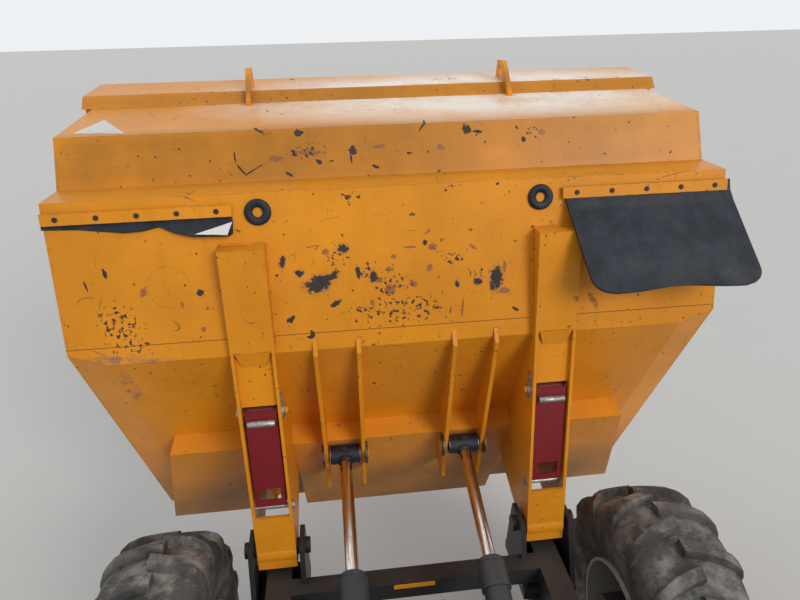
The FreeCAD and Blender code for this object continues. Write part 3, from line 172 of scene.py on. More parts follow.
def build_groups():
    """The effects that several finishes share."""
    tree, given, mask = mask_group("Edge Wear", Width=0.004, Amount=0.6)
    rounded = add(tree, "ShaderNodeBevel", {"samples": 4}, Radius=given["Width"]).outputs[0]
    bend = measure(tree, "DOT_PRODUCT", rounded, add(tree, "ShaderNodeNewGeometry").outputs["Normal"])
    worn = maths(tree, "MULTIPLY", ramp(tree, bend, 0.985, 0.88),
                 ramp(tree, noise(tree, given["Place"], 26.0, 6.0, 0.7), 0.47, 0.56))
    tree.links.new(maths(tree, "MULTIPLY", worn, given["Amount"]), mask)

    tree, given, mask = mask_group("Chips", Scale=22.0, Amount=0.3)
    patch = noise(tree, given["Place"], 1.7, 2.0)
    fleck = noise(tree, given["Place"], given["Scale"], 5.0, 0.62)
    cut_off = maths(tree, "MULTIPLY_ADD", given["Amount"], -0.12, 0.78)
    cut_off = maths(tree, "SUBTRACT", cut_off, maths(tree, "MULTIPLY", patch, 0.14))
    tree.links.new(ramp(tree, maths(tree, "SUBTRACT", fleck, cut_off), 0.0, 0.012), mask)

    tree, given, mask = mask_group("Scratches", Scale=4.6, Amount=0.5)
    marks = None
    for turn, squeeze in (((0.5, 0.1, 0.2), (1.0, 0.25, 1.3)), ((1.3, 0.4, 0.9), (0.3, 1.2, 1.0))):
        line = add(tree, "ShaderNodeTexNoise", None, Scale=given["Scale"], Detail=1.5,
                   Vector=stretched(tree, given["Place"], squeeze, turn)).outputs["Fac"]
        thin = ramp(tree, maths(tree, "ABSOLUTE", maths(tree, "SUBTRACT", line, 0.5)), 0.0046, 0.0016)
        marks = thin if marks is None else maths(tree, "MAXIMUM", marks, thin)
    marks = maths(tree, "MULTIPLY", marks, ramp(tree, noise(tree, given["Place"], 9.0, 3.0), 0.60, 0.66))
    tree.links.new(maths(tree, "MULTIPLY", marks, given["Amount"]), mask)

    tree, given, mask = mask_group("Dust", Amount=0.4, Splash_Height=0.9)
    lying = ramp(tree, facing_up(tree), 0.25, 1.0, 0.0, 0.8)
    height = maths(tree, "DIVIDE", split(tree, given["Place"])["Z"], given["Splash Height"])
    low = ramp(tree, height, 1.0, 0.2, 0.0, 0.9)
    cloud = ramp(tree, noise(tree, given["Place"], 5.0, 6.0, 0.65), 0.35, 0.7, 0.25, 1.0)
    both = maths(tree, "MULTIPLY", maths(tree, "ADD", maths(tree, "MAXIMUM", lying, low), 0.2), cloud)
    tree.links.new(maths(tree, "MULTIPLY", both, given["Amount"], clamp=True), mask)


def effect(tree, name, place, **inputs):
    """The mask of one of the shared groups."""
    node = add(tree, "ShaderNodeGroup", {"node_tree": bpy.data.node_groups[name]}, Place=place, **inputs)
    return node.outputs["Mask"]


def tint(tree, under, over, mask):
    """One colour laid over another where the mask is white."""
    mixed = add(tree, "ShaderNodeMix", {"data_type": "RGBA"}, i0=mask)
    for index, value in ((6, under), (7, over)):
        feed(tree, mixed.inputs[index], value if isinstance(value, bpy.types.NodeSocket) else (*value[:3], 1))
    return mixed.outputs[2]


def start_material(name, **fixed):
    """A material, its tree and the place that its patterns read."""
    material = bpy.data.materials.new(name)
    material.use_nodes = True
    tree = material.node_tree
    for key, value in fixed.items():
        tree.nodes["Principled BSDF"].inputs[key.replace("_", " ")].default_value = value
    return material, tree, tree.nodes.new("ShaderNodeTexCoord").outputs["Object"]


def coat(material, colour, rough, height=None, distance=0.001):
    """The material with its colour, roughness and relief joined to its shader."""
    tree = material.node_tree
    shader = tree.nodes["Principled BSDF"].inputs
    feed(tree, shader["Base Color"], colour)
    feed(tree, shader["Roughness"], rough)
    if height is not None:
        bump = add(tree, "ShaderNodeBump", None, Height=height, Distance=distance)
        tree.links.new(bump.outputs[0], shader["Normal"])
    return material


# Marks on the skip's back: place behind the pivot and across, half width, half height and turn in degrees
DARK_CHIPS = (
    (1.102, 0.302, 0.044, 0.029, -15), (1.127, 0.251, 0.025, 0.012, -35), (1.221, 0.209, 0.017, 0.016, 0),
    (1.118, 0.108, 0.014, 0.021, 0), (1.082, -0.334, 0.023, 0.042, 8), (1.075, -0.266, 0.014, 0.015, 0),
    (1.070, -0.190, 0.008, 0.013, 0), (1.184, 0.422, 0.011, 0.020, 10), (1.145, 0.366, 0.014, 0.012, 0),
    (1.028, 0.247, 0.022, 0.009, -30), (1.225, -0.078, 0.008, 0.012, 0), (1.136, 0.161, 0.009, 0.022, 0),
    (0.963, -0.406, 0.014, 0.006, 30), (0.981, 0.409, 0.016, 0.010, -40), (1.184, 1.012, 0.007, 0.018, -12),
    (1.149, 1.080, 0.004, 0.019, -14), (1.099, 0.708, 0.013, 0.016, 0), (1.510, 0.149, 0.013, 0.020, 0),
    (1.484, 0.156, 0.005, 0.015, 0), (1.575, 0.340, 0.018, 0.012, 0), (1.565, -0.274, 0.019, 0.015, 0),
    (1.556, -0.316, 0.023, 0.005, 5), (1.479, 0.274, 0.018, 0.007, 35), (1.583, -0.112, 0.025, 0.004, -50),
    (1.524, -0.487, 0.008, 0.012, 0), (1.454, 0.070, 0.015, 0.005, 25), (1.441, 0.379, 0.016, 0.005, 30),
    (1.504, 0.568, 0.020, 0.0035, 84), (1.466, 0.550, 0.025, 0.0035, 49), (1.462, 0.505, 0.033, 0.0035, -27),
    (1.587, 0.477, 0.027, 0.0035, 23))
PRIMER_MARKS = (
    (1.066, 0.052, 0.020, 0.022, 0), (1.139, 0.049, 0.013, 0.010, 0), (1.183, 0.035, 0.010, 0.009, 40),
    (1.136, -0.091, 0.011, 0.016, 20), (1.083, -0.032, 0.016, 0.013, 0), (1.212, -0.026, 0.032, 0.004, 2),
    (1.209, -0.106, 0.016, 0.015, 0), (1.263, -0.091, 0.016, 0.004, -35), (1.120, -0.365, 0.007, 0.023, 0),
    (1.211, 0.273, 0.014, 0.012, 0), (1.102, 0.087, 0.016, 0.012, 0), (1.035, -0.360, 0.023, 0.011, 0),
    (1.200, -0.249, 0.018, 0.006, 40), (1.023, 0.117, 0.009, 0.012, 0), (0.981, -0.208, 0.005, 0.032, 4),
    (1.111, 0.894, 0.013, 0.019, 20), (1.062, 0.773, 0.005, 0.013, -10), (0.969, 0.712, 0.009, 0.010, 0),
    (1.495, 0.422, 0.029, 0.011, 0), (1.510, 0.312, 0.058, 0.007, 3), (1.522, 0.052, 0.025, 0.007, -5),
    (1.511, -0.171, 0.015, 0.011, 0), (1.544, -0.559, 0.016, 0.011, 0))
FINE_CHIPS = (
    (1.397, 0.173, 0.058, 0.030, 0), (1.405, -0.176, 0.060, 0.018, 0), (1.180, 0.233, 0.063, 0.064, 0),
    (1.145, 0.139, 0.057, 0.061, 0), (1.162, -0.174, 0.054, 0.058, 0), (1.104, -0.266, 0.051, 0.044, 0),
    (1.006, 0.992, 0.120, 0.130, 0), (0.926, 0.951, 0.110, 0.050, 0), (1.088, 0.040, 0.110, 0.070, 0),
    (1.545, -0.528, 0.047, 0.042, 0), (1.517, 0.312, 0.109, 0.044, 0), (0.990, 0.02, 0.32, 0.09, 0))
# Broad soft patches anywhere on the machine: centre and half size in metres
# Painted highlight and dust: near-white on up-facing faces at the skip's top, standing in for the sun's glare as well
# as pale dust
GLARE_AND_DUST_TOP = (((1.98, -0.45, 2.605), (0.48, 1.35, 0.15)),)
# Painted shade and dirt: darker paint over the band above the ledge, standing in for the shade on that face, and over
# the lip and the top rail's back
SHADE_AND_DIRT_BANDS = (((1.565, 0.0, 2.455), (0.12, 3.0, 0.19)), ((1.80, 0.0, 0.74), (0.42, 2.2, 0.36)),
              ((2.05, 0.0, 2.63), (0.06, 3.0, 0.10)))
RUBBED = (((1.268, 1.03, 1.825), (0.04, 0.13, 0.030)), ((1.35, 1.02, 1.67), (0.11, 0.035, 0.16)),
          ((1.28, 0.90, 1.812), (0.03, 0.12, 0.012)))
LAP_BEHIND, LAP_AHEAD = 0.927, 1.2825
RING_SCAR = (1.124, 0.809), 0.072
MOON_SCAR = ((0.922, 0.344), 0.016), ((0.928, 0.354), 0.011)


def nearest(tree, place, marks):
    """How far each point lies from the nearest mark, 1 being that mark's edge."""
    reach = None
    for behind, across, wide, high, turn in marks:
        local = add(tree, "ShaderNodeMapping", {"vector_type": "TEXTURE"}, Vector=place,
                    Location=skin(behind, across), Rotation=(math.radians(turn), 0, 0), Scale=(0.06, wide, high))
        away = measure(tree, "LENGTH", local.outputs[0])
        reach = away if reach is None else maths(tree, "MINIMUM", reach, away)
    return reach


def patches(tree, place, spots):
    """White in the middle of each patch, fading to its edge."""
    shown = None
    for centre, size in spots:
        local = add(tree, "ShaderNodeMapping", {"vector_type": "TEXTURE"}, Vector=place, Location=centre,
                    Scale=size)
        inside = ramp(tree, measure(tree, "LENGTH", local.outputs[0]), 1.0, 0.45)
        shown = inside if shown is None else maths(tree, "MAXIMUM", shown, inside)
    return shown


def away_from(tree, value, middle):
    return maths(tree, "ABSOLUTE", maths(tree, "SUBTRACT", value, middle))


def skip_marks(tree, place, body):
    """The chips, rubbed patches, painted shade and dirt, and lap line that this skip carries."""
    wobble = maths(tree, "SUBTRACT", noise(tree, place, 62.0, 5.0, 0.65), 0.5)
    # Painted shade and dirt: a darker brown over the band above the ledge, the lip and the top rail's back
    shade_and_dirt = maths(tree, "MULTIPLY", patches(tree, place, SHADE_AND_DIRT_BANDS),
                  ramp(tree, noise(tree, place, 4.0, 6.0, 0.6), 0.3, 0.7, 0.3, 0.7))
    body = tint(tree, body, (0.25, 0.105, 0.012), shade_and_dirt)
    rubbed = maths(tree, "MULTIPLY", patches(tree, place, RUBBED),
                   ramp(tree, noise(tree, place, 34.0, 6.0, 0.7), 0.42, 0.58))
    body = tint(tree, body, (0.20, 0.13, 0.10), maths(tree, "MULTIPLY", rubbed, 0.75))
    primer = maths(tree, "MULTIPLY_ADD", wobble, 2.2, nearest(tree, place, PRIMER_MARKS))
    body = tint(tree, body, (0.24, 0.085, 0.045), ramp(tree, primer, 1.05, 0.75, 0.0, 0.8))
    halo = maths(tree, "MULTIPLY_ADD", wobble, 2.0, nearest(tree, place, DARK_CHIPS[:9]))
    body = tint(tree, body, (0.36, 0.15, 0.05), ramp(tree, halo, 1.6, 0.9, 0.0, 0.55))
    chips = maths(tree, "MULTIPLY_ADD", wobble, 2.4, nearest(tree, place, DARK_CHIPS))
    chips = ramp(tree, chips, 1.0, 0.88)
    zone = ramp(tree, nearest(tree, place, FINE_CHIPS), 1.15, 0.35, 0.0, 0.19)
    flecks = maths(tree, "ADD", noise(tree, place, 70.0, 3.0, 0.6), zone)
    chips = maths(tree, "MAXIMUM", chips, ramp(tree, flecks, 0.745, 0.76))
    axes = split(tree, place)
    lap = ramp(tree, away_from(tree, axes["Z"], PIVOT.z + LAP_BEHIND), 0.0021, 0.0009)
    on_back = maths(tree, "LESS_THAN", away_from(tree, axes["X"], LAP_AHEAD), 0.007)
    body = tint(tree, body, (0.19, 0.075, 0.012), maths(tree, "MULTIPLY", lap, on_back))
    (whole, reach), (bite, bite_reach) = MOON_SCAR
    whole = maths(tree, "LESS_THAN", measure(tree, "DISTANCE", place, skin(*whole)), reach)
    bite = maths(tree, "GREATER_THAN", measure(tree, "DISTANCE", place, skin(*bite)), bite_reach)
    moon = maths(tree, "MULTIPLY", whole, bite)
    ring = away_from(tree, measure(tree, "DISTANCE", place, skin(*RING_SCAR[0])), RING_SCAR[1])
    faint = maths(tree, "MULTIPLY", ramp(tree, ring, 0.0028, 0.0008), ramp(tree, wobble, -0.05, 0.12, 0.0, 0.7))
    body = tint(tree, body, (0.20, 0.09, 0.03), faint)
    return body, maths(tree, "MAXIMUM", chips, moon)


def worn_paint(name, colour, under, rough, chips=0.3, scratch=0.5, dust=0.3, edge=0.6, splash=0.9, marks=False):
    """Sprayed enamel with chips, scratches, rubbed edges and dust that settles on top; on the skip also painted shade
    and a painted highlight.
    """
    material, tree, place = start_material(name, IOR=1.5, Coat_Weight=0.05, Coat_Roughness=0.2,
                                           Specular_IOR_Level=0.26)
    cloud = noise(tree, place, 2.3, 5.0, 0.6)
    faded = [c * 0.84 for c in colour]
    bright = [min(1.0, c * 1.05 + 0.002) for c in colour]
    body = tint(tree, faded, bright, ramp(tree, cloud, 0.35, 0.65))
    runs = noise(tree, stretched(tree, place, (9.0, 9.0, 0.8)), 2.2, 3.0)
    body = tint(tree, body, [c * 0.72 for c in colour], ramp(tree, runs, 0.6, 0.8, 0.0, 0.35))
    sunk = effect(tree, "Chips", place, Scale=46.0, Amount=chips)
    bare = maths(tree, "MAXIMUM", sunk, effect(tree, "Scratches", place, Amount=scratch))
    bare = maths(tree, "MAXIMUM", bare, effect(tree, "Edge Wear", place, Amount=edge))
    grime = effect(tree, "Dust", place, Amount=dust, Splash_Height=splash)
    if marks:
        body, own = skip_marks(tree, place, body)
        bare = maths(tree, "MAXIMUM", bare, own)
        # Painted highlight and dust: near-white where faces point up under the top patch, standing in for glare as well
        # as pale dust
        glare_and_powder = maths(tree, "MULTIPLY", patches(tree, place, GLARE_AND_DUST_TOP),
                       ramp(tree, noise(tree, place, 5.0, 7.0, 0.65), 0.34, 0.56, 0.5, 1.0))
        glare_and_powder = maths(tree, "MULTIPLY", glare_and_powder, ramp(tree, facing_up(tree), 0.8, 0.95))
        body = tint(tree, body, (0.93, 0.87, 0.78), glare_and_powder)
    body = tint(tree, tint(tree, body, under, bare), bpy.context.scene.dumper_finish.dust_colour, grime)
    matt = ramp(tree, maths(tree, "MAXIMUM", grime, bare), 0.0, 1.0, rough, 0.85)
    # Only the small chips are sunk: the marks' own masks overflow the renderer when they reach the relief
    peel = maths(tree, "MULTIPLY", noise(tree, place, 220.0, 2.0), 0.12)
    return coat(material, body, matt, maths(tree, "SUBTRACT", peel, sunk), 0.0006)


def rubber(name, colour, rough, dust):
    """Moulded rubber, mottled grey with dust caked on its upward faces and low down."""
    material, tree, place = start_material(name, IOR=1.5, Specular_IOR_Level=0.3)
    mottle = noise(tree, place, 14.0, 7.0, 0.7)
    body = tint(tree, colour, [c * 1.9 + 0.012 for c in colour], ramp(tree, mottle, 0.4, 0.7))
    grime = effect(tree, "Dust", place, Amount=dust, Splash_Height=1.2)
    caked = ramp(tree, noise(tree, place, 6.0, 8.0, 0.75), 0.45, 0.62, 0.15, 1.0)
    grime = maths(tree, "MULTIPLY", grime, caked, clamp=True)
    return coat(material, tint(tree, body, bpy.context.scene.dumper_finish.pale_dust, grime),
                ramp(tree, grime, 0.0, 1.0, rough, 0.95), noise(tree, place, 90.0, 6.0, 0.7), 0.0015)


def bright_rod(name):
    """Hard chrome with oil film and a brown haze of dirt."""
    material, tree, place = start_material(name, Metallic=1.0)
    film = ramp(tree, noise(tree, stretched(tree, place, (2.0, 9.0, 2.0)), 7.0, 6.0, 0.7), 0.4, 0.75)
    return coat(material, tint(tree, (0.62, 0.60, 0.58), (0.30, 0.19, 0.12), film),
                ramp(tree, film, 0.0, 1.0, 0.12, 0.38), noise(tree, place, 160.0, 3.0), 0.0002)


def cast_metal(name, colour, rough):
    """Sand-cast or galvanised steel with pitting and rust."""
    material, tree, place = start_material(name, Metallic=0.75)
    pits = noise(tree, place, 75.0, 8.0, 0.7)
    body = tint(tree, [c * 0.6 for c in colour], [min(1, c * 1.5) for c in colour], ramp(tree, pits, 0.35, 0.7))
    rust = ramp(tree, noise(tree, place, 11.0, 6.0, 0.7), 0.56, 0.7, 0.0, 0.75)
    return coat(material, tint(tree, body, (0.13, 0.05, 0.02), rust), ramp(tree, rust, 0.0, 1.0, rough, 0.8), pits,
                0.0012)


def moulded_plastic(name, colour, rough):
    """Grained plastic with scuffs and a little dust."""
    material, tree, place = start_material(name, IOR=1.46)
    scuffed = effect(tree, "Scratches", place, Amount=0.5, Scale=5.0)
    body = tint(tree, colour, [c * 2.2 + 0.03 for c in colour], scuffed)
    grime = effect(tree, "Dust", place, Amount=0.3, Splash_Height=0.4)
    cells = add(tree, "ShaderNodeTexVoronoi", None, Vector=place, Scale=260.0).outputs["Distance"]
    return coat(material, tint(tree, body, bpy.context.scene.dumper_finish.dust_colour, grime),
                ramp(tree, grime, 0.0, 1.0, rough, 0.9), cells, 0.0005)


def seat_vinyl(name):
    """Grained vinyl, lighter and rougher in random patches."""
    material, tree, place = start_material(name, IOR=1.5, Sheen_Weight=0.1)
    cells = add(tree, "ShaderNodeTexVoronoi", {"feature": "SMOOTH_F1"}, Vector=place, Scale=340.0).outputs["Distance"]
    polished = noise(tree, place, 6.0, 4.0)
    return coat(material, tint(tree, (0.016, 0.016, 0.017), (0.05, 0.047, 0.043), ramp(tree, polished, 0.4, 0.7)),
                ramp(tree, polished, 0.3, 0.7, 0.42, 0.62), cells, 0.0007)


def lens(name, colour, ribs=90.0):
    """Moulded lens with fine ribs in it."""
    material, tree, place = start_material(name, IOR=1.49, Transmission_Weight=0.55)
    wave = add(tree, "ShaderNodeTexWave", {"bands_direction": "Y"}, Vector=place, Scale=ribs).outputs["Fac"]
    return coat(material, tint(tree, [c * 0.75 for c in colour], colour, wave), 0.12, wave, 0.0012)


def build_materials():
    look = bpy.context.scene.dumper_finish
    return {
        "skip_paint": worn_paint("Skip Enamel", look.paint_colour, (0.040, 0.034, 0.034), 0.38, chips=0.34,
                                 scratch=0.6, dust=0.12, edge=0.7, splash=0.95, marks=True),
        "black_paint": worn_paint("Chassis Black", look.chassis_colour, (0.09, 0.06, 0.045), 0.42, chips=0.25,
                                  scratch=0.4, dust=0.14, edge=0.45),
        "rim_paint": worn_paint("Rim Grey", (0.42, 0.41, 0.37), (0.10, 0.055, 0.03), 0.45, chips=0.4, dust=0.6),
        "red_paint": worn_paint("Prop Red", (0.20, 0.008, 0.015), (0.05, 0.03, 0.03), 0.4, dust=0.2),
        "ram_paint": worn_paint("Ram Grey", (0.020, 0.026, 0.033), (0.12, 0.10, 0.09), 0.45, chips=0.2, dust=0.16),
        "tyre_rubber": rubber("Tyre Rubber", (0.030, 0.028, 0.027), 0.75, 1.6),
        "flap_rubber": rubber("Flap Rubber", (0.006, 0.009, 0.016), 0.5, 0.08),
        "chrome": bright_rod("Ram Chrome"),
        "cast": cast_metal("Cast Iron", (0.09, 0.09, 0.092), 0.5),
        "seat_cover": seat_vinyl("Seat Vinyl"),
        "dash_plastic": moulded_plastic("Dash Plastic", (0.030, 0.031, 0.034), 0.5),
        "lamp_plastic": moulded_plastic("Lamp Plastic", (0.025, 0.025, 0.027), 0.4),
        "beacon_amber": lens("Beacon Amber", (0.95, 0.30, 0.01), 60.0),
        "clear_lens": lens("Clear Lens", (0.85, 0.87, 0.88)),
        "red_lens": lens("Red Lens", (0.55, 0.01, 0.01)),
        "zinc": cast_metal("Zinc Plate", (0.38, 0.37, 0.34), 0.42),
        "bare_plate": worn_paint("Blank Plate", (0.72, 0.72, 0.70), (0.3, 0.2, 0.1), 0.4, dust=0.3),
    }


MATERIALS = {}


# Meshes and repeats

def link(obj):
    bpy.context.scene.collection.objects.link(obj)
    return obj


def finished(obj, body, finish, smooth=None):
    """Give a piece its material and its body."""
    obj.data.materials.clear()
    obj.data.materials.append(MATERIALS[finish])
    if smooth is not None:
        obj.data.shade_smooth()
        obj.data.set_sharp_from_angle(angle=math.radians(smooth))
    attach(obj, body)
    return obj


def from_bmesh(name, mesh, clean=True):
    if clean:
        bmesh.ops.remove_doubles(mesh, verts=mesh.verts, dist=1e-5)
        bmesh.ops.recalc_face_normals(mesh, faces=mesh.faces)
    data = bpy.data.meshes.new(name)
    mesh.to_mesh(data)
    mesh.free()
    return link(bpy.data.objects.new(name, data))


def loft(mesh, rings, capped=True):
    """Skin a list of closed rings of points, each ring as long as the others."""
    rows = [[mesh.verts.new(p) for p in ring] for ring in rings]
    count = len(rows[0])
    for low, high in zip(rows, rows[1:]):
        for i in range(count):
            mesh.faces.new((low[i], low[(i + 1) % count], high[(i + 1) % count], high[i]))
    if capped:
        mesh.faces.new(list(reversed(rows[0])))
        mesh.faces.new(rows[-1])


def circle(centre, side, other, radius, count, start=0.0):
    """Points evenly round a centre, from one direction towards another."""
    turns = [start + FULL_TURN * i / count for i in range(count)]
    return [Vector(centre) + radius * (side * math.cos(t) + other * math.sin(t)) for t in turns]


def lathe(name, profile, centre, axis, segments):
    """A closed profile of (along, radius) turned about an axis through a centre."""
    axis = Vector(axis).normalized()
    side = axis.orthogonal().normalized()
    ways = circle((0, 0, 0), side, axis.cross(side), 1.0, segments)
    rings = [[Vector(centre) + axis * along + out * radius for along, radius in profile] for out in ways]
    mesh = bmesh.new()
    loft(mesh, rings + [rings[0]], capped=False)
    return from_bmesh(name, mesh)


def tube(name, points, radius, sides):
    """A closed round bar along a list of points."""
    points = [Vector(p) for p in points]
    rings, up = [], None
    for i, point in enumerate(points):
        along = (points[min(i + 1, len(points) - 1)] - points[max(i - 1, 0)]).normalized()
        up = along.orthogonal() if up is None else up - along * up.dot(along)
        up.normalize()
        rings.append(circle(point, up, along.cross(up), radius, sides))
    mesh = bmesh.new()
    loft(mesh, rings)
    return from_bmesh(name, mesh)


def eased(points, share, steps=5):
    """A path with its corners rounded, each over a share of its length before and after."""
    points = [Vector(p) for p in points]
    path = [points[0]]
    for before, here, after in zip(points, points[1:], points[2:]):
        start, end = here + (before - here).normalized() * share, here + (after - here).normalized() * share
        for t in (i / steps for i in range(steps + 1)):
            path.append(start * (1 - t) ** 2 + here * 2 * t * (1 - t) + end * t ** 2)
    return path + [points[-1]]


def sheet(name, surface, columns, rows, thick):
    """A thick bent sheet: surface gives a point for each share across and down."""
    mesh = bmesh.new()
    grid = [[mesh.verts.new(surface(i / columns, j / rows)) for i in range(columns + 1)] for j in range(rows + 1)]
    for near, far in zip(grid, grid[1:]):
        for i in range(columns):
            mesh.faces.new((near[i], near[i + 1], far[i + 1], far[i]))
    bmesh.ops.recalc_face_normals(mesh, faces=mesh.faces)
    bmesh.ops.solidify(mesh, geom=mesh.faces[:], thickness=thick)
    return from_bmesh(name, mesh)


def slab(name, corners, normal, thick):
    """A flat plate with the given corners, standing off along its normal."""
    mesh = bmesh.new()
    off = Vector(normal).normalized() * thick
    loft(mesh, [[Vector(c) for c in corners], [Vector(c) + off for c in corners]])
    return from_bmesh(name, mesh)


def rounded_box(name, centre, half, bevel, segments=3, turn=None):
    mesh = bmesh.new()
    bmesh.ops.create_cube(mesh, size=2.0)
    bmesh.ops.scale(mesh, vec=half, verts=mesh.verts)
    bmesh.ops.bevel(mesh, geom=mesh.edges[:], offset=bevel, segments=segments, affect="EDGES", profile=0.5)
    if turn is not None:
        bmesh.ops.rotate(mesh, verts=mesh.verts, cent=(0, 0, 0), matrix=turn)
    bmesh.ops.translate(mesh, vec=centre, verts=mesh.verts)
    return from_bmesh(name, mesh)


def grow(name, seed, tree, **values):
    """Run a geometry tree on a seed mesh and keep its result as one plain mesh."""
    maker = link(bpy.data.objects.new(name + "_seed", seed))
    modifier = maker.modifiers.new("Make", "NODES")
    modifier.node_group = tree
    for item in tree.interface.items_tree:
        if item.item_type == "SOCKET" and item.in_out == "INPUT" and item.name in values:
            modifier[item.identifier] = values[item.name]
    made = maker.evaluated_get(bpy.context.evaluated_depsgraph_get())
    mesh = bpy.data.meshes.new_from_object(made)
    bpy.data.objects.remove(maker)
    return link(bpy.data.objects.new(name, mesh))


def maker_tree(name, **values):
    """An empty geometry tree that takes a seed, some numbers and a material."""
    numbers = [(key, "Int" if isinstance(value, int) else "Float", value) for key, value in values.items()]
    return new_tree(name, "GeometryNodeTree", [("Geometry", "Geometry", None)] + numbers
                    + [("Material", "Material", None)], ("Geometry", "Geometry"))


def about(tree, axis, angle):
    return add(tree, "FunctionNodeAxisAngleToRotation", None, Axis=axis, Angle=angle).outputs[0]


def aimed(tree, way):
    return add(tree, "FunctionNodeAlignRotationToVector", {"axis": "Z"}, Vector=way).outputs[0]


def stored(tree, kind, name):
    """What each point of the seed says under a name."""
    return add(tree, "GeometryNodeInputNamedAttribute", {"data_type": kind}, Name=name).outputs[0]


def spread(tree, given, out, points, shape, turn, smooth=False, **more):
    """Put a turned copy of a shape at each point and paint the lot."""
    made = add(tree, "GeometryNodeInstanceOnPoints", None, Points=points, Instance=shape, Rotation=turn, **more)
    made = add(tree, "GeometryNodeRealizeInstances", None, Geometry=made.outputs[0])
    if smooth:
        made = add(tree, "GeometryNodeSetShadeSmooth", None, Geometry=made.outputs[0])
    made = add(tree, "GeometryNodeSetMaterial", None, Geometry=made.outputs[0], Material=given["Material"])
    tree.links.new(made.outputs[0], out)
    return tree


def ring_tree():
    """Repeats a shape about the Y axis."""
    tree, given, out = maker_tree("Ring Of Lugs", Count=16)
    spots = add(tree, "GeometryNodeMeshLine", None, Count=given["Count"], Offset=(0, 0, 0)).outputs[0]
    share = maths(tree, "DIVIDE", tree.nodes.new("GeometryNodeInputIndex").outputs[0], given["Count"])
    turn = about(tree, (0, 1, 0), maths(tree, "MULTIPLY", share, FULL_TURN))
    return spread(tree, given, out, spots, given["Geometry"], turn)


def fixing_tree():
    """Puts a hexagon head on its washer at each point, facing as the point says."""
    tree, given, out = maker_tree("Bolt Heads", Radius=0.012, Sides=6, Seed=3)
    both = tree.nodes.new("GeometryNodeJoinGeometry")
    for sides, wide, high in ((given["Sides"], 1.0, 1.3), (18, 1.5, 0.5)):
        part = add(tree, "GeometryNodeMeshCylinder", None, Vertices=sides,
                   Radius=maths(tree, "MULTIPLY", given["Radius"], wide),
                   Depth=maths(tree, "MULTIPLY", given["Radius"], high))
        tree.links.new(part.outputs["Mesh"], both.inputs[0])
    facing = aimed(tree, stored(tree, "FLOAT_VECTOR", "facing"))
    spin = add(tree, "FunctionNodeRandomValue", {"data_type": "FLOAT"}, Seed=given["Seed"]).outputs[1]
    spin = about(tree, (0, 0, 1), maths(tree, "MULTIPLY", spin, FULL_TURN))
    turned_by = add(tree, "FunctionNodeRotateRotation", {"rotation_space": "LOCAL"}, Rotation=facing, Rotate_By=spin)
    return spread(tree, given, out, given["Geometry"], both.outputs[0], turned_by.outputs[0])


def weld_tree():
    """Lays overlapping weld beads along the edges of the seed."""
    tree, given, out = maker_tree("Weld Bead", Width=0.007)
    path = add(tree, "GeometryNodeMeshToCurve", None, Mesh=given["Geometry"]).outputs[0]
    spaced = add(tree, "GeometryNodeResampleCurve", {"mode": "LENGTH"}, Curve=path,
                 Length=maths(tree, "MULTIPLY", given["Width"], 1.1)).outputs[0]
    bead = add(tree, "GeometryNodeMeshUVSphere", None, Segments=8, Rings=5, Radius=given["Width"]).outputs[0]
    along = aimed(tree, tree.nodes.new("GeometryNodeInputTangent").outputs[0])
    return spread(tree, given, out, spaced, bead, along, smooth=True)


def tread_tree():
    """Lays a low lozenge at each point, turned as the point says."""
    tree, given, out = maker_tree("Chequer Plate", Length=0.03)
    bar = add(tree, "GeometryNodeMeshCone", None, Vertices=6, Radius_Top=0.25, Radius_Bottom=0.5, Depth=0.12)
    flat = add(tree, "GeometryNodeTransform", None, Geometry=bar.outputs["Mesh"], Scale=(1.0, 0.28, 0.7)).outputs[0]
    turn = about(tree, (0, 0, 1), stored(tree, "FLOAT", "turned"))
    return spread(tree, given, out, given["Geometry"], flat, turn, Scale=given["Length"])


TREES = {}


def bolts(name, body, spots, radius, finish="zinc", sides=6):
    """Bolt heads at (point, facing) spots."""
    seed = bpy.data.meshes.new(name + "_spots")
    seed.from_pydata([tuple(point) for point, _ in spots], [], [])
    facing = seed.attributes.new("facing", "FLOAT_VECTOR", "POINT")
    for i, (_, way) in enumerate(spots):
        facing.data[i].vector = Vector(way).normalized()
    made = grow(name, seed, TREES["bolts"], Radius=radius, Sides=sides, Seed=len(spots),
                Material=MATERIALS[finish])
    return finished(made, body, finish)


def weld(name, body, paths, width, finish):
    """Weld beads along each path of points."""
    seed = bpy.data.meshes.new(name + "_paths")
    points, edges = [], []
    for path in paths:
        first = len(points)
        points += [tuple(p) for p in path]
        edges += [(first + i, first + i + 1) for i in range(len(path) - 1)]
    seed.from_pydata(points, edges, [])
    return finished(grow(name, seed, TREES["weld"], Width=width, Material=MATERIALS[finish]), body, finish)


def solid(*points):
    """The profile of a turned solid, closed at its axis."""
    return [(points[0][0], CORE), *points, (points[-1][0], CORE)]


def turned(name, body, finish, profile, centre, axis, segments=40, smooth=40):
    return finished(lathe(name, profile, centre, axis, segments), body, finish, smooth)


def rod(name, body, finish, points, radius, sides=10, smooth=60):
    return finished(tube(name, points, radius, sides), body, finish, smooth)


def block(name, body, finish, centre, half, bevel, slot=None, smooth=35, **shape):
    return finished(rounded_box(name, centre, half, bevel, **shape), body, finish, smooth)


# Pieces

class PieceOperator:
    bl_options = {"REGISTER", "UNDO"}

    def execute(self, context):
        self.make(context)
        return {"FINISHED"}


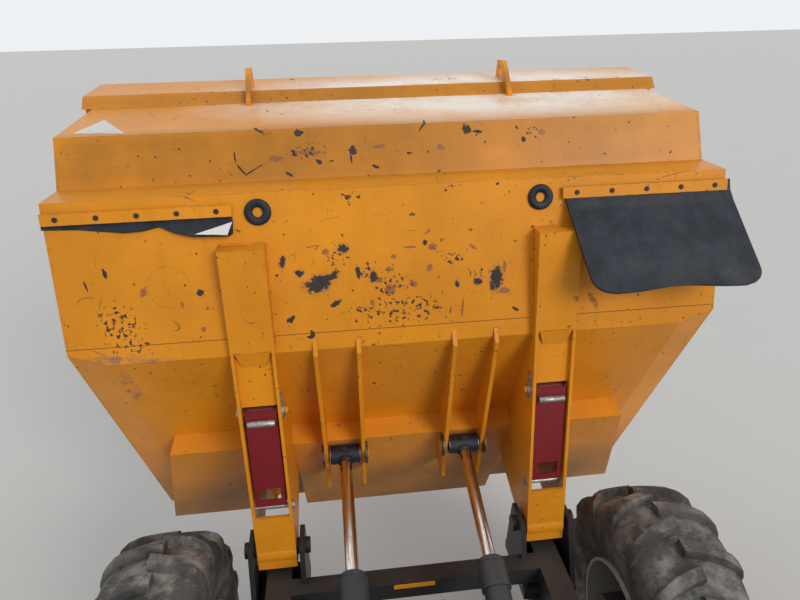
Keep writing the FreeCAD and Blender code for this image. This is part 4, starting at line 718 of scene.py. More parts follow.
class DUMPER_OT_finishes(PieceOperator, bpy.types.Operator):
    """Build every finish and paint the frame's own nodes with it"""
    bl_idname = "dumper.finishes"
    bl_label = "Finishes"

    def make(self, context):
        build_groups()
        MATERIALS.update(build_materials())
        TREES.update(ring=ring_tree(), bolts=fixing_tree(), weld=weld_tree(), tread=tread_tree())
        slots = [entry["slot"] for entry in frame["record"]["materials"]]
        fallback = frame["record"]["subparts"][0].get("slot", "skip_paint")
        for obj in NODES.values():
            for held in obj.material_slots:
                name = held.material.name.split(".")[0] if held.material else ""
                held.material = MATERIALS[name if name in slots else fallback]


class DUMPER_OT_tyres(PieceOperator, bpy.types.Operator):
    """Traction tyres with staggered lugs that curl over the shoulder"""
    bl_idname = "dumper.tyres"
    bl_label = "Tyres"

    def make(self, context):
        for at, body, _ in WHEELS:
            self.tyre(context.scene.dumper_fittings, at, body)

    def tyre(self, fit, at, body):
        wall, bead, crown = TYRE_HALF - 0.004, 0.262, WHEEL_RADIUS - fit.lug_height
        outside = [(0.0, crown), (0.10, crown - 0.003), (0.155, crown - 0.016), (0.186, crown - 0.042),
                   (wall, crown - 0.085), (wall + 0.001, 0.42), (wall - 0.002, 0.37), (wall - 0.012, 0.325),
                   (wall - 0.022, 0.300), (wall - 0.021, 0.290), (wall - 0.030, 0.279), (wall - 0.030, bead),
                   (wall - 0.050, bead)]
        inside = [(wall - 0.056, 0.30), (wall - 0.022, 0.40), (0.14, crown - 0.05), (0.0, crown - 0.032)]
        across = outside + inside
        profile = across + [(-y, r) for y, r in reversed(across[1:-1])]
        parts = [lathe("carcass", profile, (0, 0, 0), (0, 1, 0), segments=96), self.lugs(fit, crown)]
        bpy.context.view_layer.update()
        mesh = bmesh.new()
        for part in parts:
            mesh.from_mesh(part.data)
            bpy.data.objects.remove(part)
        bmesh.ops.translate(mesh, vec=middle_of("tyre_" + at), verts=mesh.verts)
        whole = from_bmesh("lugged_tyre_" + at, mesh, clean=False)
        finished(whole, body, "tyre_rubber", smooth=38)
        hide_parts("tyre_" + at)

    def lugs(self, fit, crown):
        """One lug each side of the tread, half a pitch apart, repeated round the tyre."""
        # Along a lug: across the tread, share of its sweep, drop below the tread's top
        path = ((-0.016, 0.0, 0.0), (0.03, 0.1, 0.001), (0.08, 0.27, 0.004), (0.125, 0.47, 0.009),
                (0.162, 0.68, 0.022), (0.188, 0.85, 0.046), (0.200, 0.95, 0.080), (0.2015, 1.0, 0.118))
        mesh = bmesh.new()
        half_pitch = math.pi / fit.lug_count
        for way in (1, -1):
            rings = []
            for y, sweep, drop in path:
                top = WHEEL_RADIUS - drop
                low = min(crown, top) - 0.03 if drop < 0.03 else top - 0.045
                turn = -sweep * fit.lug_sweep / WHEEL_RADIUS + (half_pitch if way < 0 else 0.0)
                wide = (0.030 - 0.004 * sweep) / WHEEL_RADIUS
                inward = 0.03 if drop > 0.04 else 0.0
                ring = []
                for share, radius, shift in ((-1.25, low, inward), (-1.0, top - 0.008, 0.0), (-0.8, top, 0.0),
                                             (0.8, top, 0.0), (1.0, top - 0.008, 0.0), (1.25, low, inward)):
                    angle = turn + share * wide
                    ring.append((radius * math.sin(angle), way * (y - shift), radius * math.cos(angle)))
                rings.append(ring)
            loft(mesh, rings)
        bmesh.ops.recalc_face_normals(mesh, faces=mesh.faces)
        seed = bpy.data.meshes.new("lug")
        mesh.to_mesh(seed)
        mesh.free()
        return grow("lugs", seed, TREES["ring"], Count=fit.lug_count, Material=MATERIALS["tyre_rubber"])


class DUMPER_OT_rims(PieceOperator, bpy.types.Operator):
    """Wheel nuts, hub bolts, hub plugs and valves"""
    bl_idname = "dumper.rims"
    bl_label = "Rims"

    def make(self, context):
        for at, body, sign in WHEELS:
            self.rim(context.scene.dumper_fittings.nut_count, at, body, sign)

    def rim(self, nut_count, at, body, sign):
        middle, out = middle_of("rim_" + at), (0, sign, 0)
        seat, hub = self.face_at(at, sign, 0.135) + sign * 0.004, self.face_at(at, sign, 0.075)
        ahead, up = Vector((1, 0, 0)), Vector((0, 0, 1))
        nuts = circle((middle.x, seat, middle.z), ahead, up, 0.1375, nut_count)
        bolts("wheel_nuts_" + at, body, [(spot, out) for spot in nuts], 0.013)
        heads = circle((middle.x, hub, middle.z), ahead, up, 0.082, 6, math.radians(30))
        bolts("hub_bolts_" + at, body, [(spot, out) for spot in heads], 0.008, finish="cast")
        turned("hub_plug_" + at, body, "rim_paint", solid((-0.002, 0.034), (0.005, 0.034), (0.008, 0.028)),
               (middle.x, hub, middle.z), out, 36, smooth=35)
        foot = Vector((middle.x, self.face_at(at, sign, 0.185), middle.z + 0.185))
        stem = [foot + Vector((0, sign * y, z)) for y, z in ((-0.012, 0.0), (0.012, 0.002), (0.030, 0.010))]
        rod("valve_" + at, body, "flap_rubber", stem, 0.0045, smooth=50)

    def face_at(self, at, sign, radius):
        """How far out the rim's own metal reaches at a radius from its axle."""
        obj, middle = NODES["rim_" + at], middle_of("rim_" + at)
        start = Vector((middle.x + radius, middle.y + sign * 1.0, middle.z))
        inverse = obj.matrix_world.inverted()
        hit, place, _, _ = obj.ray_cast(inverse @ start, inverse.to_3x3() @ Vector((0, -sign, 0)))
        return (obj.matrix_world @ place).y if hit else middle.y


# How the whole flap hangs, from its clamp to its lower edge: ahead and up
FLAP_FALL = ((1.3510, 2.338), (1.3445, 2.300), (1.3200, 2.264), (1.2770, 2.219), (1.2280, 2.168),
             (1.1780, 2.116), (1.1380, 2.072), (1.1100, 2.038))
# Lower edge of the torn flap: across, behind the pivot, and how far it stands off
TORN_EDGE = ((1.186, 1.340, 0.006), (1.072, 1.339, 0.010), (0.984, 1.330, 0.015), (0.924, 1.323, 0.018),
             (0.868, 1.324, 0.016), (0.811, 1.334, 0.012), (0.764, 1.316, 0.024), (0.703, 1.304, 0.036),
             (0.587, 1.302, 0.044), (0.570, 1.312, 0.046))


class DUMPER_OT_skip_details(PieceOperator, bpy.types.Operator):
    """Rubber buffers, blank plate, weld beads, flaps and clamp bolts on the skip"""
    bl_idname = "dumper.skip_details"
    bl_label = "Skip details"

    def make(self, context):
        ring = [(-0.004, 0.017), (0.006, 0.017), (0.011, 0.022), (0.013, 0.032), (0.012, 0.039), (0.008, 0.044),
                (-0.004, 0.046)]
        for side, across in (("left", 0.487), ("right", -0.493)):
            turned("buffer_ring_" + side, "skip", "flap_rubber", ring, skin(1.360, across), TAIL_NORMAL, smooth=50)
        heads = [(skin(1.374, sign * (0.62 + i * 0.128), 0.0185), TAIL_NORMAL) for _, sign in SIDES for i in range(5)]
        bolts("clamp_bolts", "skip", heads, 0.006, finish="black_paint")
        self.right_flap(context.scene.dumper_fittings.flap_corner)
        self.left_remnant()
        # Blank white warning plate on the top rail's left end
        lie = [Vector((x, y, 2.537 + (x - 1.6015) * 0.0894)) for x, y in ((1.652, 1.128), (1.624, 0.946),
                                                                         (1.835, 1.074))]
        finished(slab("blank_plate", lie, (-0.089, 0, 0.996), 0.002), "skip", "bare_plate")
        self.welds()

    def flap(self, side, surface, columns, rows, thick):
        strip = sheet("rubber_flap_" + side, surface, columns, rows, -thick)
        finished(strip, "skip", "flap_rubber", smooth=60)
        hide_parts("flap_" + side)

    def right_flap(self, round_off):
        """The whole flap: clamped along its top, bent by its own weight, with rounded lower corners."""
        falls = [Vector((x, 0, z)) for x, z in FLAP_FALL]

        def surface(share, down):
            step = min(down * (len(falls) - 1), len(falls) - 1.0001)
            point = falls[int(step)].lerp(falls[int(step) + 1], step % 1)
            left = (1 - down) * 0.38
            inset = 0.0 if left > round_off else round_off - math.sqrt(round_off ** 2 - (round_off - left) ** 2)
            inner, outer = -0.575 - 0.045 * down - inset, -1.190 - 0.035 * down + inset
            ripple = 0.007 * down * math.sin(share * 8.0 + 0.6) + 0.016 * down * down * (2 * share - 1) ** 2
            return Vector((point.x - ripple, inner + (outer - inner) * share, point.z))
        self.flap("right", surface, 40, 42, 0.010)

    def left_remnant(self):
        """What is left of the torn flap: a wavy strip that twists at its inner end, a corner folded over."""
        def surface(share, down):
            across = 1.185 - 0.613 * share
            (y0, edge0, out0), (y1, edge1, out1) = next(p for p in zip(TORN_EDGE, TORN_EDGE[1:]) if across >= p[1][0])
            along = (y0 - across) / (y0 - y1)
            edge, out = edge0 + (edge1 - edge0) * along, out0 + (out1 - out0) * along
            loose = max(0.0, (down - 0.4) / 0.6)
            behind = 1.390 - 0.040 * min(1.0, down / 0.4) + (edge - 1.350) * loose
            return skin(behind, across, 0.004 + (out - 0.004) * loose ** 1.3)
        self.flap("left", surface, 90, 14, 0.008)
        fold = (skin(1.311, 0.693, 0.042), skin(1.305, 0.586, 0.050), skin(1.338, 0.571, 0.018))
        finished(slab("torn_fold", fold, TAIL_NORMAL, 0.003), "skip", "bare_plate")

    def welds(self):
        """Beads along the arms, and the pressed lip on each of them."""
        paths = []
        for _, sign in SIDES:
            for start, end in (((0.90, 0.469), (1.252, 0.469)), ((0.90, 0.630), (1.252, 0.630)),
                               ((1.257, 0.474), (1.257, 0.625))):
                paths.append([skin(behind, sign * across, 0.001) for behind, across in (start, end)])
        weld("arm_welds", "skip", paths, 0.005, "skip_paint")
        for side, sign in SIDES:
            corners = [on_skip(behind, sign * across, up) for behind, across, up in (
                (0.890, 0.487, 0.0290), (0.890, 0.612, 0.0290), (0.828, 0.592, 0.0435), (0.828, 0.507, 0.0435))]
            finished(slab("pressed_lip_" + side, corners, (-0.97, 0, -0.24), 0.003), "skip", "skip_paint")


class DUMPER_OT_hydraulics(PieceOperator, bpy.types.Operator):
    """Eye sleeves, gland nuts, ports, oil pipes and pin heads of the rams"""
    bl_idname = "dumper.hydraulics"
    bl_label = "Hydraulics"

    def make(self, context):
        for side, sign in SIDES:
            self.ram(side, sign)

    def ram(self, side, sign):
        rod_body, barrel = "ram_rod_" + side, "ram_barrel_" + side
        along, foot = joint("ram_stroke_" + side)[1], joint("ram_swing_" + side)[0]
        under = Vector((along.z, 0, -along.x))
        eye_behind, eye_across, eye_up, pin_end = 0.262, 0.254, 0.222, 0.086
        eye = on_skip(eye_behind, sign * eye_across, eye_up)
        turned("eye_shell_" + side, rod_body, "flap_rubber",
               solid((-0.0635, 0.036), (-0.060, 0.0395), (0.060, 0.0395), (0.0635, 0.036)), eye, (0, 1, 0))
        turned("eye_collar_" + side, rod_body, "flap_rubber",
               [(0.030, 0.0256), (0.030, 0.034), (0.041, 0.033), (0.0445, 0.030), (0.0445, 0.0256)], eye, -along)
        turned("gland_ring_" + side, barrel, "ram_paint",
               [(0.772, 0.0265), (0.772, 0.046), (0.779, 0.050), (0.790, 0.050), (0.795, 0.044), (0.795, 0.0265)],
               foot, along)
        ports = [(foot + along * reach + under * out, under) for reach, out in ((0.075, 0.046), (0.715, 0.053))]
        bolts("ram_ports_" + side, barrel, ports, 0.015)
        bolts("grease_nipple_" + side, rod_body, [(eye + Vector((-0.014, 0, 0.040)), (-0.3, 0, 1))], 0.008,
              finish="cast")
        for face in (-1, 1):
            seat = eye + Vector((0, face * pin_end, 0))
            turned("eye_pin_%s%d" % (side, face > 0), "skip", "cast",
                   solid((0.0, 0.031), (0.009, 0.031), (0.012, 0.028)), seat, (0, face, 0), 28, smooth=35)
            self.keeper("eye_keeper_%s%d" % (side, face > 0), seat, face)
        # Steel oil pipe along the underside, held by two clips
        path = [foot + along * reach + under * out for reach, out in ((0.715, 0.050), (0.715, 0.066), (0.160, 0.066),
                                                                     (0.130, 0.050))]
        rod("ram_pipe_" + side, barrel, "ram_paint", eased(path, 0.012), 0.006)
        lie = Matrix((along, (0, 1, 0), along.cross(Vector((0, 1, 0))))).transposed()
        for i, reach in enumerate((0.30, 0.56)):
            block("pipe_clip_%s%d" % (side, i), barrel, "zinc", foot + along * reach + under * 0.056,
                  (0.009, 0.012, 0.018), 0.002, "cast", None, segments=1, turn=lie)

    def keeper(self, name, seat, face):
        """C-shaped plate that stops the pin from turning, with its two bolts."""
        inner, outer, thick = 0.033, 0.048, 0.007
        ways = [Vector((-math.cos(t), 0, math.sin(t))) for t in (math.radians(-120 + i * 12) for i in range(21))]
        mesh = bmesh.new()
        loft(mesh, [[seat + way * radius + Vector((0, face * lift, 0)) for radius, lift in (
            (inner, 0), (outer, 0), (outer, thick), (inner, thick))] for way in ways])
        finished(from_bmesh(name, mesh), "skip", "cast", smooth=30)
        heads = [(seat + way * (inner + outer) / 2 + Vector((0, face * thick, 0)), (0, face, 0))
                 for way in (ways[1], ways[-2])]
        bolts(name + "_bolts", "skip", heads, 0.006, finish="cast")


class DUMPER_OT_props(PieceOperator, bpy.types.Operator):
    """Pins, caps and retaining bolts of the safety props"""
    bl_idname = "dumper.props"
    bl_label = "Safety props"

    def make(self, context):
        arm_middle, arm_face = 0.5495, 0.0775
        down, out = Vector((-0.0904, 0, -0.9959)), Vector((-0.9959, 0, 0.0904))
        for side, sign in SIDES:
            pin = joint("prop_swing_" + side)[0]
            for face in (-1, 1):
                seat = Vector((pin.x, sign * arm_middle + arm_face * face, pin.z))
                turned("prop_cap_%s%d" % (side, face > 0), "skip", "zinc",
                       solid((0.0, 0.024), (0.007, 0.024), (0.011, 0.019)), seat, (0, face, 0), 28, 35)
            turned("prop_roller_" + side, "prop_" + side, "zinc",
                   solid((-0.050, 0.011), (-0.047, 0.013), (0.047, 0.013), (0.050, 0.011)),
                   pin + out * 0.040 + down * 0.030, (0, 1, 0), 24)
            stow = pin + down * 0.424
            turned("stow_pin_" + side, "skip", "zinc", solid((-0.0655, 0.010), (0.0655, 0.010)), stow, (0, 1, 0), 20)
            bolts("stow_pin_head_" + side, "skip", [(stow + Vector((0, -sign * arm_face, 0)), (0, -sign, 0))], 0.014)
            block("pin_plate_" + side, "skip", "zinc", pin + Vector((0, -sign * 0.0805, 0.018)),
                  (0.014, 0.003, 0.055), 0.002, "cast")


class DUMPER_OT_driver(PieceOperator, bpy.types.Operator):
    """Cushions, steering wheel, dials and levers of the driver's place"""
    bl_idname = "dumper.driver"
    bl_label = "Driver's place"

    def make(self, context):
        self.seat()
        self.wheel()
        self.dash()
        self.deck()

    def seat(self):
        """Two crowned cushions with sewn channels and piping, on a pan and a back shell."""
        low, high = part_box("seat")
        half = (high.y - low.y) / 2
        block("seat_pan", "rear_frame", "black_paint", (high.x - 0.205, 0, low.z + 0.015), (0.200, half - 0.006, 0.015),
              0.009)
        base = self.cushion("seat_cushion", Vector((high.x - 0.197, 0, low.z + 0.072)), (0.195, half - 0.004, 0.043),
                            Matrix.Identity(3), (-0.085, -0.02, 0.045, 0.11))
        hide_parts("seat")
        upright = Matrix.Rotation(math.pi / 2 - math.atan2(0.070, 0.450), 3, "Y")
        self.cushion("back_cushion", Vector((low.x + 0.086, 0, low.z + 0.335)), (0.215, half - 0.008, 0.040), upright,
                     (-0.13, -0.065, 0.0, 0.065, 0.13))
        block("seat_shell", "rear_frame", "dash_plastic", (low.x + 0.030, 0, low.z + 0.325),
              (0.222, half - 0.002, 0.012), 0.011, smooth=40, turn=upright)

    def cushion(self, name, centre, half, turn, channels):
        """A crowned pad, its grooves sewn between two side rolls, with piping along its seam."""
        hx, hy, hz = half
        round_off = hz * 0.8
        roll = hy * 0.70
        mesh = bmesh.new()
        bmesh.ops.create_cube(mesh, size=2.0)
        bmesh.ops.subdivide_edges(mesh, edges=mesh.edges[:], cuts=46, use_grid_fill=True)
        for vert in mesh.verts:
            wide = Vector((vert.co.x * hx, vert.co.y * hy, vert.co.z * hz))
            core = Vector([max(-h + round_off, min(h - round_off, w)) for w, h in zip(wide, half)])
            away = wide - core
            if away.length > 0:
                wide = core + away.normalized() * round_off
            middle = max(0.0, 1 - (wide.x / hx) ** 2) * max(0.0, 1 - (wide.y / hy) ** 2)
            side = min(1.0, max(0.0, (abs(wide.y) - roll) / (hy * 0.12)))
            sewn = math.exp(-((abs(wide.y) - roll) / 0.007) ** 2)
            if abs(wide.y) < roll:
                sewn = max([sewn] + [math.exp(-((wide.x - c) / 0.008) ** 2) for c in channels])
            if wide.z > 0:
                wide.z += wide.z / hz * (0.010 * middle + 0.010 * side - 0.011 * sewn)
            vert.co = centre + turn @ wide
        pad = from_bmesh(name, mesh)
        finished(pad, "rear_frame", "seat_cover", smooth=80)
        seam = []
        for quarter, (x_way, y_way) in enumerate(((1, 1), (-1, 1), (-1, -1), (1, -1))):
            for step in range(7):
                angle = math.radians(90 * quarter + step * 15)
                seam.append(centre + turn @ Vector((x_way * (hx - round_off) + (round_off + 0.001) * math.cos(angle),
                                                    y_way * (hy - round_off) + (round_off + 0.001) * math.sin(angle),
                                                    -hz * 0.1)))
        rod(name + "_piping", "rear_frame", "seat_cover", seam + [seam[0]], 0.0035)
        return pad

    def wheel(self):
        """Grip ring with finger bumps, hub cap and a spinner."""
        hub, axis = joint("helm_turn")
        axis.normalize()
        side = axis.orthogonal().normalized()
        other = axis.cross(side)
        count, sides, reach = 96, 12, 0.190
        rings = []
        for i in range(count):
            turn = FULL_TURN * i / count
            out = side * math.cos(turn) + other * math.sin(turn)
            rings.append(circle(hub + out * reach, out, axis, 0.0150 + 0.0012 * math.cos(24 * turn), sides))
        mesh = bmesh.new()
        loft(mesh, rings + [rings[0]], capped=False)
        finished(from_bmesh("wheel_grip", mesh), "helm", "dash_plastic", smooth=60)
        turned("wheel_cap", "helm", "dash_plastic",
               [(0.012, CORE), (0.012, 0.036), (0.020, 0.034), (0.026, 0.026), (0.028, CORE)], hub, axis, 36, smooth=45)
        turned("wheel_spinner", "helm", "dash_plastic",
               [(0.010, CORE), (0.010, 0.010), (0.022, 0.010), (0.030, 0.021), (0.046, 0.024), (0.060, 0.019),
                (0.066, CORE)], hub + side * reach, axis, 28, smooth=50)

    def dash(self):
        """Dials, switches and the two levers on the dash."""
        low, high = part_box("console")
        top, foot = Vector((-0.8945, 0, 1.400)), Vector((-1.0895, 0, 1.310))
        facing = Vector((-0.419, 0, 0.908))

        def on_dash(up, across):
            """A point on the sloping top of the dash, up being measured from its middle."""
            return (top + foot) / 2 + (top - foot).normalized() * up + Vector((0, across, 0))
        for name, across, radius in (("clock", -0.105, 0.046), ("fuel_gauge", 0.078, 0.028),
                                     ("heat_gauge", 0.146, 0.028)):
            centre = on_dash(0.020, across)
            turned(name, "rear_frame", "lamp_plastic",
                   solid((-0.004, radius), (0.007, radius), (0.009, radius * 0.93), (0.004, radius * 0.88)),
                   centre, facing)
            turned(name + "_glass", "rear_frame", "clear_lens",
                   solid((0.0042, radius * 0.87), (0.0062, radius * 0.87)), centre, facing, 36, None)
        # The switches leave room for the steering column
        keys = [(on_dash(-0.066, -0.15 + i * 0.0375), facing) for i in (0, 1, 2, 6, 7, 8)]
        bolts("dash_switches", "rear_frame", keys, 0.009, finish="lamp_plastic", sides=16)
        for name, across, ahead in (("gear_lever", -0.225, 0.02), ("tip_lever", 0.225, 0.0)):
            root = Vector((low.x + 0.12 + ahead, across, high.z - 0.42))
            stick = [root + Vector((x, 0, z)) for x, z in ((0.03, -0.04), (0.0, 0.0), (-0.015, 0.14), (-0.05, 0.27))]
            rod(name, "rear_frame", "black_paint", stick, 0.009, 14, 50)
            turned(name + "_knob", "rear_frame", "dash_plastic",
                   [(-0.024, CORE), (-0.024, 0.010), (-0.012, 0.021), (0.006, 0.025), (0.022, 0.017), (0.028, CORE)],
                   root + Vector((-0.055, 0, 0.29)), (-0.2, 0, 1), 24, smooth=60)
            block(name + "_bracket", "rear_frame", "black_paint",
                  root + Vector((0.03, -0.018 if across > 0 else 0.018, -0.03)), (0.03, 0.022, 0.03), 0.004)

    def deck(self):
        """Raised lozenges of the chequer plate the driver stands on."""
        low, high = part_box("platform")
        spacing = 0.052
        rows = int((high.x - low.x - 0.06) / spacing)
        columns = int((high.y - low.y - 0.16) / spacing)
        spots = [(low.x + 0.04 + i * spacing, low.y + 0.10 + k * spacing, (i + k) % 2)
                 for i in range(rows) for k in range(columns)]
        spots = [(x, y, way) for x, y, way in spots if abs(y) >= 0.205 or x <= -1.125]
        seed = bpy.data.meshes.new("tread_spots")
        seed.from_pydata([(x, y, high.z) for x, y, _ in spots], [], [])
        leaning = seed.attributes.new("turned", "FLOAT", "POINT")
        for i, (_, _, way) in enumerate(spots):
            leaning.data[i].value = math.pi / 4 if way else -math.pi / 4
        tread = grow("deck_tread", seed, TREES["tread"], Length=0.030, Material=MATERIALS["black_paint"])
        finished(tread, "rear_frame", "black_paint")


class DUMPER_OT_lamps(PieceOperator, bpy.types.Operator):
    """Lenses, beacon dome and bonnet catches"""
    bl_idname = "dumper.lamps"
    bl_label = "Lamps and bonnet"

    def make(self, context):
        foot = middle_of("beacon")
        foot.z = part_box("beacon")[0].z
        dome = turned("beacon_dome", "hoop", "beacon_amber",
                      [(0.018, 0.050), (0.020, 0.0615), (0.085, 0.0600), (0.112, 0.050), (0.127, 0.030), (0.1315, CORE),
                       (0.1285, CORE), (0.124, 0.028), (0.109, 0.047), (0.084, 0.0570), (0.020, 0.0580)],
                      foot, (0, 0, 1), 48, smooth=50)
        turned("beacon_base", "hoop", "lamp_plastic", solid((0.0, 0.058), (0.006, 0.063), (0.018, 0.063),
                                                            (0.022, 0.058)), foot, (0, 0, 1), 48)
        turned("beacon_bulb", "hoop", "chrome",
               [(0.020, CORE), (0.020, 0.022), (0.060, 0.024), (0.092, 0.018), (0.098, CORE)], foot, (0, 0, 1), 28,
               smooth=50)
        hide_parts("beacon")
        low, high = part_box("lamps")
        for side, sign in SIDES:
            block("bonnet_catch_" + side, "bonnet", "flap_rubber", (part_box("bonnet")[1].x - 0.12, sign * 0.3685, 1.0),
                  (0.012, 0.0045, 0.05), 0.003, smooth=40)
            # Bezel and domed glass on the lamp beside the dash
            seat = Vector((high.x, sign * 0.28, high.z - 0.062))
            turned("lamp_bezel_" + side, "rear_frame", "lamp_plastic",
                   [(-0.006, 0.0535), (-0.006, 0.0630), (0.004, 0.0635), (0.008, 0.0600), (0.006, 0.0535)], seat,
                   (1, 0, 0), smooth=45)
            turned("lamp_glass_" + side, "rear_frame", "clear_lens",
                   [(0.0005, CORE), (0.0005, 0.0530), (0.004, 0.0530), (0.009, 0.040), (0.012, 0.022), (0.013, CORE)],
                   seat, (1, 0, 0), smooth=60)
            for kind, across, finish in (("red", 0.296, "red_lens"), ("amber", 0.362, "beacon_amber")):
                block("%s_lens_%s" % (kind, side), "rear_frame", finish, (low.x - 0.003, sign * across, 0.80),
                      (0.006, 0.029, 0.032), 0.004, "lamp_plastic", 40)


class DUMPER_OT_fixings(PieceOperator, bpy.types.Operator):
    """Hems, bolts and caps on the frame, mudguards and roll bar"""
    bl_idname = "dumper.fixings"
    bl_label = "Frame fixings"

    def make(self, context):
        low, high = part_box("mudguards")
        bend, fold = low.x + 0.160, high.z - 0.004
        inner, outer, hem_low = 0.544, high.y - 0.004, 0.952
        post = middle_of("roll_hoop").x
        for side, sign in SIDES:
            path = [(high.x - 0.004, inner, fold), (high.x - 0.004, outer, fold), (bend, outer, fold),
                    (low.x + 0.004, outer, hem_low), (low.x + 0.004, inner, hem_low)]
            rod("guard_hem_" + side, "rear_frame", "black_paint", eased([(x, sign * y, z) for x, y, z in path], 0.030),
                0.007)
            tops = [((x, sign * y, high.z), (0, 0, 1)) for x in (-1.0845, -1.6245) for y in (0.553, 0.577)]
            bolts("guard_bolts_" + side, "rear_frame", tops, 0.008, finish="cast")
            pins = [((post, sign * y, z), (0, sign * way, 0)) for y, z, way in (
                (0.524, 1.70, 1), (0.523, 1.575, 1), (0.416, 1.70, -1))]
            bolts("roll_bar_pins_" + side, "rear_frame", pins, 0.017)
            feet = [((post + x, sign * 0.395, 0.85), (0, 0, 1)) for x in (-0.062, 0.062)]
            bolts("post_bolts_" + side, "rear_frame", feet, 0.012)
        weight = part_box("lamps")[0].x + 0.030
        heads = [((weight, y, z), (-1, 0, 0)) for y in (-0.33, 0.33) for z in (0.56, 0.70)]
        bolts("weight_bolts", "rear_frame", heads, 0.017)
        turned("filler_cap", "rear_frame", "dash_plastic", solid((-0.020, 0.039), (0.003, 0.039), (0.007, 0.033)),
               (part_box("fuel_tank")[1].x, -0.415, 0.78), (1, 0, 0), 32)
        block("yellow_strip", "front_frame", "skip_paint", (1.0495, 0.014, 0.834), (0.0015, 0.083, 0.011), 0.001,
              smooth=None, segments=1)


class DUMPER_OT_stage(PieceOperator, bpy.types.Operator):
    """Pale floor, soft light and the camera of the photograph"""
    bl_idname = "dumper.stage"
    bl_label = "Stage"

    def make(self, context):
        setting = context.scene.dumper_stage
        self.camera(setting)
        self.floor(setting)
        self.light(setting)
        context.scene.view_settings.view_transform = "Standard"

    def camera(self, setting):
        """The photograph's own place: over the driver's seat, looking forward and down."""
        yaw, pitch, roll = setting.yaw, setting.pitch, setting.roll
        ahead = Vector((math.cos(yaw) * math.cos(pitch), -math.sin(yaw) * math.cos(pitch), -math.sin(pitch)))
        level = Vector((-math.sin(yaw), -math.cos(yaw), 0))
        down = ahead.cross(level)
        right = level * math.cos(roll) + down * math.sin(roll)
        up = level * math.sin(roll) - down * math.cos(roll)
        data = bpy.data.cameras.new("Camera")
        data.lens, data.sensor_width, data.sensor_fit = setting.lens, 36.0, "HORIZONTAL"
        data.clip_end = 200
        camera = link(bpy.data.objects.new("Camera", data))
        turn = Matrix((right, up, -ahead)).transposed().to_4x4()
        camera.matrix_world = Matrix.Translation(setting.eye) @ turn
        bpy.context.scene.camera = camera

    def floor(self, setting):
        bpy.ops.mesh.primitive_plane_add(size=160, location=(0, 0, -0.001))
        ground = bpy.context.object
        ground.name = "Floor"
        material, tree, place = start_material("Floor Paper")
        paper = tint(tree, [c * 0.97 for c in setting.floor_colour], setting.floor_colour, noise(tree, place, 2.0, 3.0))
        ground.data.materials.append(coat(material, paper, 0.9))

    def light(self, setting):
        world = bpy.data.worlds.new("Studio")
        bpy.context.scene.world = world
        world.use_nodes = True
        tree = world.node_tree
        tree.nodes.clear()
        rays = tree.nodes.new("ShaderNodeLightPath").outputs
        seen = rays["Is Camera Ray"]
        for kind in ("Is Glossy Ray", "Is Transmission Ray"):
            seen = maths(tree, "MAXIMUM", seen, rays[kind])
        paper = add(tree, "ShaderNodeBackground", None, Color=(0.86, 0.88, 0.90, 1), Strength=1.0)
        glow = add(tree, "ShaderNodeBackground", None, Color=(0.93, 0.97, 1.0, 1), Strength=setting.sky)
        mixed = add(tree, "ShaderNodeMixShader", None, i0=seen, i1=glow.outputs[0], i2=paper.outputs[0])
        out = tree.nodes.new("ShaderNodeOutputWorld")
        tree.links.new(mixed.outputs[0], out.inputs[0])
        for name, way, power, angle in (("Key", (0.80, 0.46, -0.42), setting.key, 24),
                                        ("Fill", (-0.3, -0.5, -0.8), setting.key * 0.3, 60)):
            data = bpy.data.lights.new(name, "SUN")
            data.energy, data.angle = power, math.radians(angle)
            data.color = (1.0, 0.96, 0.90) if name == "Key" else (0.92, 0.96, 1.0)
            lamp = link(bpy.data.objects.new(name, data))
            lamp.rotation_mode = "QUATERNION"
            lamp.rotation_quaternion = Vector(way).to_track_quat("-Z", "Y")


# Add-on

class DumperFinish(bpy.types.PropertyGroup):
    paint_colour: FloatVectorProperty(name="Paint", description="Enamel of the skip and bonnet", subtype="COLOR",
                                      size=3, min=0, max=1, default=(0.74, 0.27, 0.006))
    chassis_colour: FloatVectorProperty(name="Chassis", description="Black of the frame and roll bar",
                                        subtype="COLOR", size=3, min=0, max=1, default=(0.017, 0.019, 0.023))
    dust_colour: FloatVectorProperty(name="Dust", description="Dry site dust", subtype="COLOR", size=3, min=0,
                                     max=1, default=(0.32, 0.25, 0.18))
    pale_dust: FloatVectorProperty(name="Rubber dust", description="Grey dust caked on rubber", subtype="COLOR",
                                   size=3, min=0, max=1, default=(0.33, 0.31, 0.285))


class DumperFittings(bpy.types.PropertyGroup):
    lug_count: IntProperty(name="Lugs", description="Tread lugs on each side of a tyre", default=16, min=8, max=30)
    lug_height: FloatProperty(name="Lug height", description="Height of a tread lug", default=0.038,
                              unit="LENGTH", subtype="DISTANCE")
    nut_count: IntProperty(name="Wheel nuts", description="Nuts on each wheel", default=8, min=4, max=12)
    flap_corner: FloatProperty(name="Flap corner", description="Rounding of the flap's lower corners", default=0.07,
                               unit="LENGTH", subtype="DISTANCE")
    lug_sweep: FloatProperty(name="Lug sweep", description="How far a lug runs back to the shoulder",
                             default=0.10, unit="LENGTH", subtype="DISTANCE")


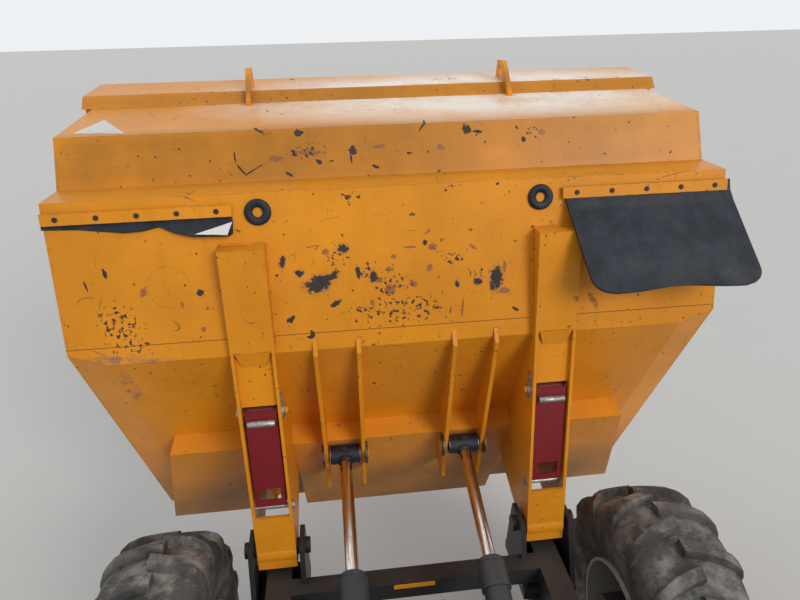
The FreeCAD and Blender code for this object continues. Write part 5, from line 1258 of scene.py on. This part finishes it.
class DumperStage(bpy.types.PropertyGroup):
    eye: FloatVectorProperty(name="Eye", description="Where the photograph was taken from", size=3,
                             subtype="TRANSLATION", unit="LENGTH",
                             default=(PIVOT.x - 1.92, 0.232, 2.90))
    yaw: FloatProperty(name="Yaw", description="Turn to the right", subtype="ANGLE", unit="ROTATION",
                       default=math.radians(6.07))
    pitch: FloatProperty(name="Pitch", description="Tilt downwards", subtype="ANGLE", unit="ROTATION",
                         default=math.radians(24.70))
    roll: FloatProperty(name="Roll", description="Lean of the camera", subtype="ANGLE", unit="ROTATION",
                        default=math.radians(1.39))
    lens: FloatProperty(name="Lens", description="Focal length in millimetres on a 36 mm wide frame",
                        default=27.954, min=10, max=200)
    floor_colour: FloatVectorProperty(name="Floor", description="Paper under the machine", subtype="COLOR",
                                      size=3, min=0, max=1, default=(0.60, 0.59, 0.57))
    sky: FloatProperty(name="Sky", description="Strength of the even light", default=0.62, min=0, max=3)
    key: FloatProperty(name="Key", description="Strength of the sun-like lamp", default=1.5, min=0, max=10)


class DUMPER_PT_panel(bpy.types.Panel):
    bl_label = "Site dumper"
    bl_idname = "DUMPER_PT_panel"
    bl_space_type = "VIEW_3D"
    bl_region_type = "UI"
    bl_category = "Dumper"

    def draw(self, context):
        for group in ("dumper_finish", "dumper_fittings", "dumper_stage"):
            values = getattr(context.scene, group)
            box = self.layout.box()
            for key in values.bl_rna.properties.keys():
                if key not in ("rna_type", "name"):
                    box.prop(values, key)
        for operator in OPERATORS:
            self.layout.operator(operator.bl_idname)


OPERATORS = (DUMPER_OT_stage, DUMPER_OT_finishes, DUMPER_OT_tyres, DUMPER_OT_rims, DUMPER_OT_skip_details,
             DUMPER_OT_hydraulics, DUMPER_OT_props, DUMPER_OT_driver, DUMPER_OT_lamps, DUMPER_OT_fixings)
GROUPS = (("dumper_finish", DumperFinish), ("dumper_fittings", DumperFittings), ("dumper_stage", DumperStage))


def register():
    for name, group in GROUPS:
        bpy.utils.register_class(group)
        setattr(bpy.types.Scene, name, PointerProperty(type=group))
    for operator in OPERATORS:
        bpy.utils.register_class(operator)
    bpy.utils.register_class(DUMPER_PT_panel)


def unregister():
    bpy.utils.unregister_class(DUMPER_PT_panel)
    for operator in reversed(OPERATORS):
        bpy.utils.unregister_class(operator)
    for name, group in reversed(GROUPS):
        delattr(bpy.types.Scene, name)
        bpy.utils.unregister_class(group)


def main():
    register()
    for operator in OPERATORS:
        module, name = operator.bl_idname.split(".")
        getattr(getattr(bpy.ops, module), name)()


if __name__ == "__main__":
    main()
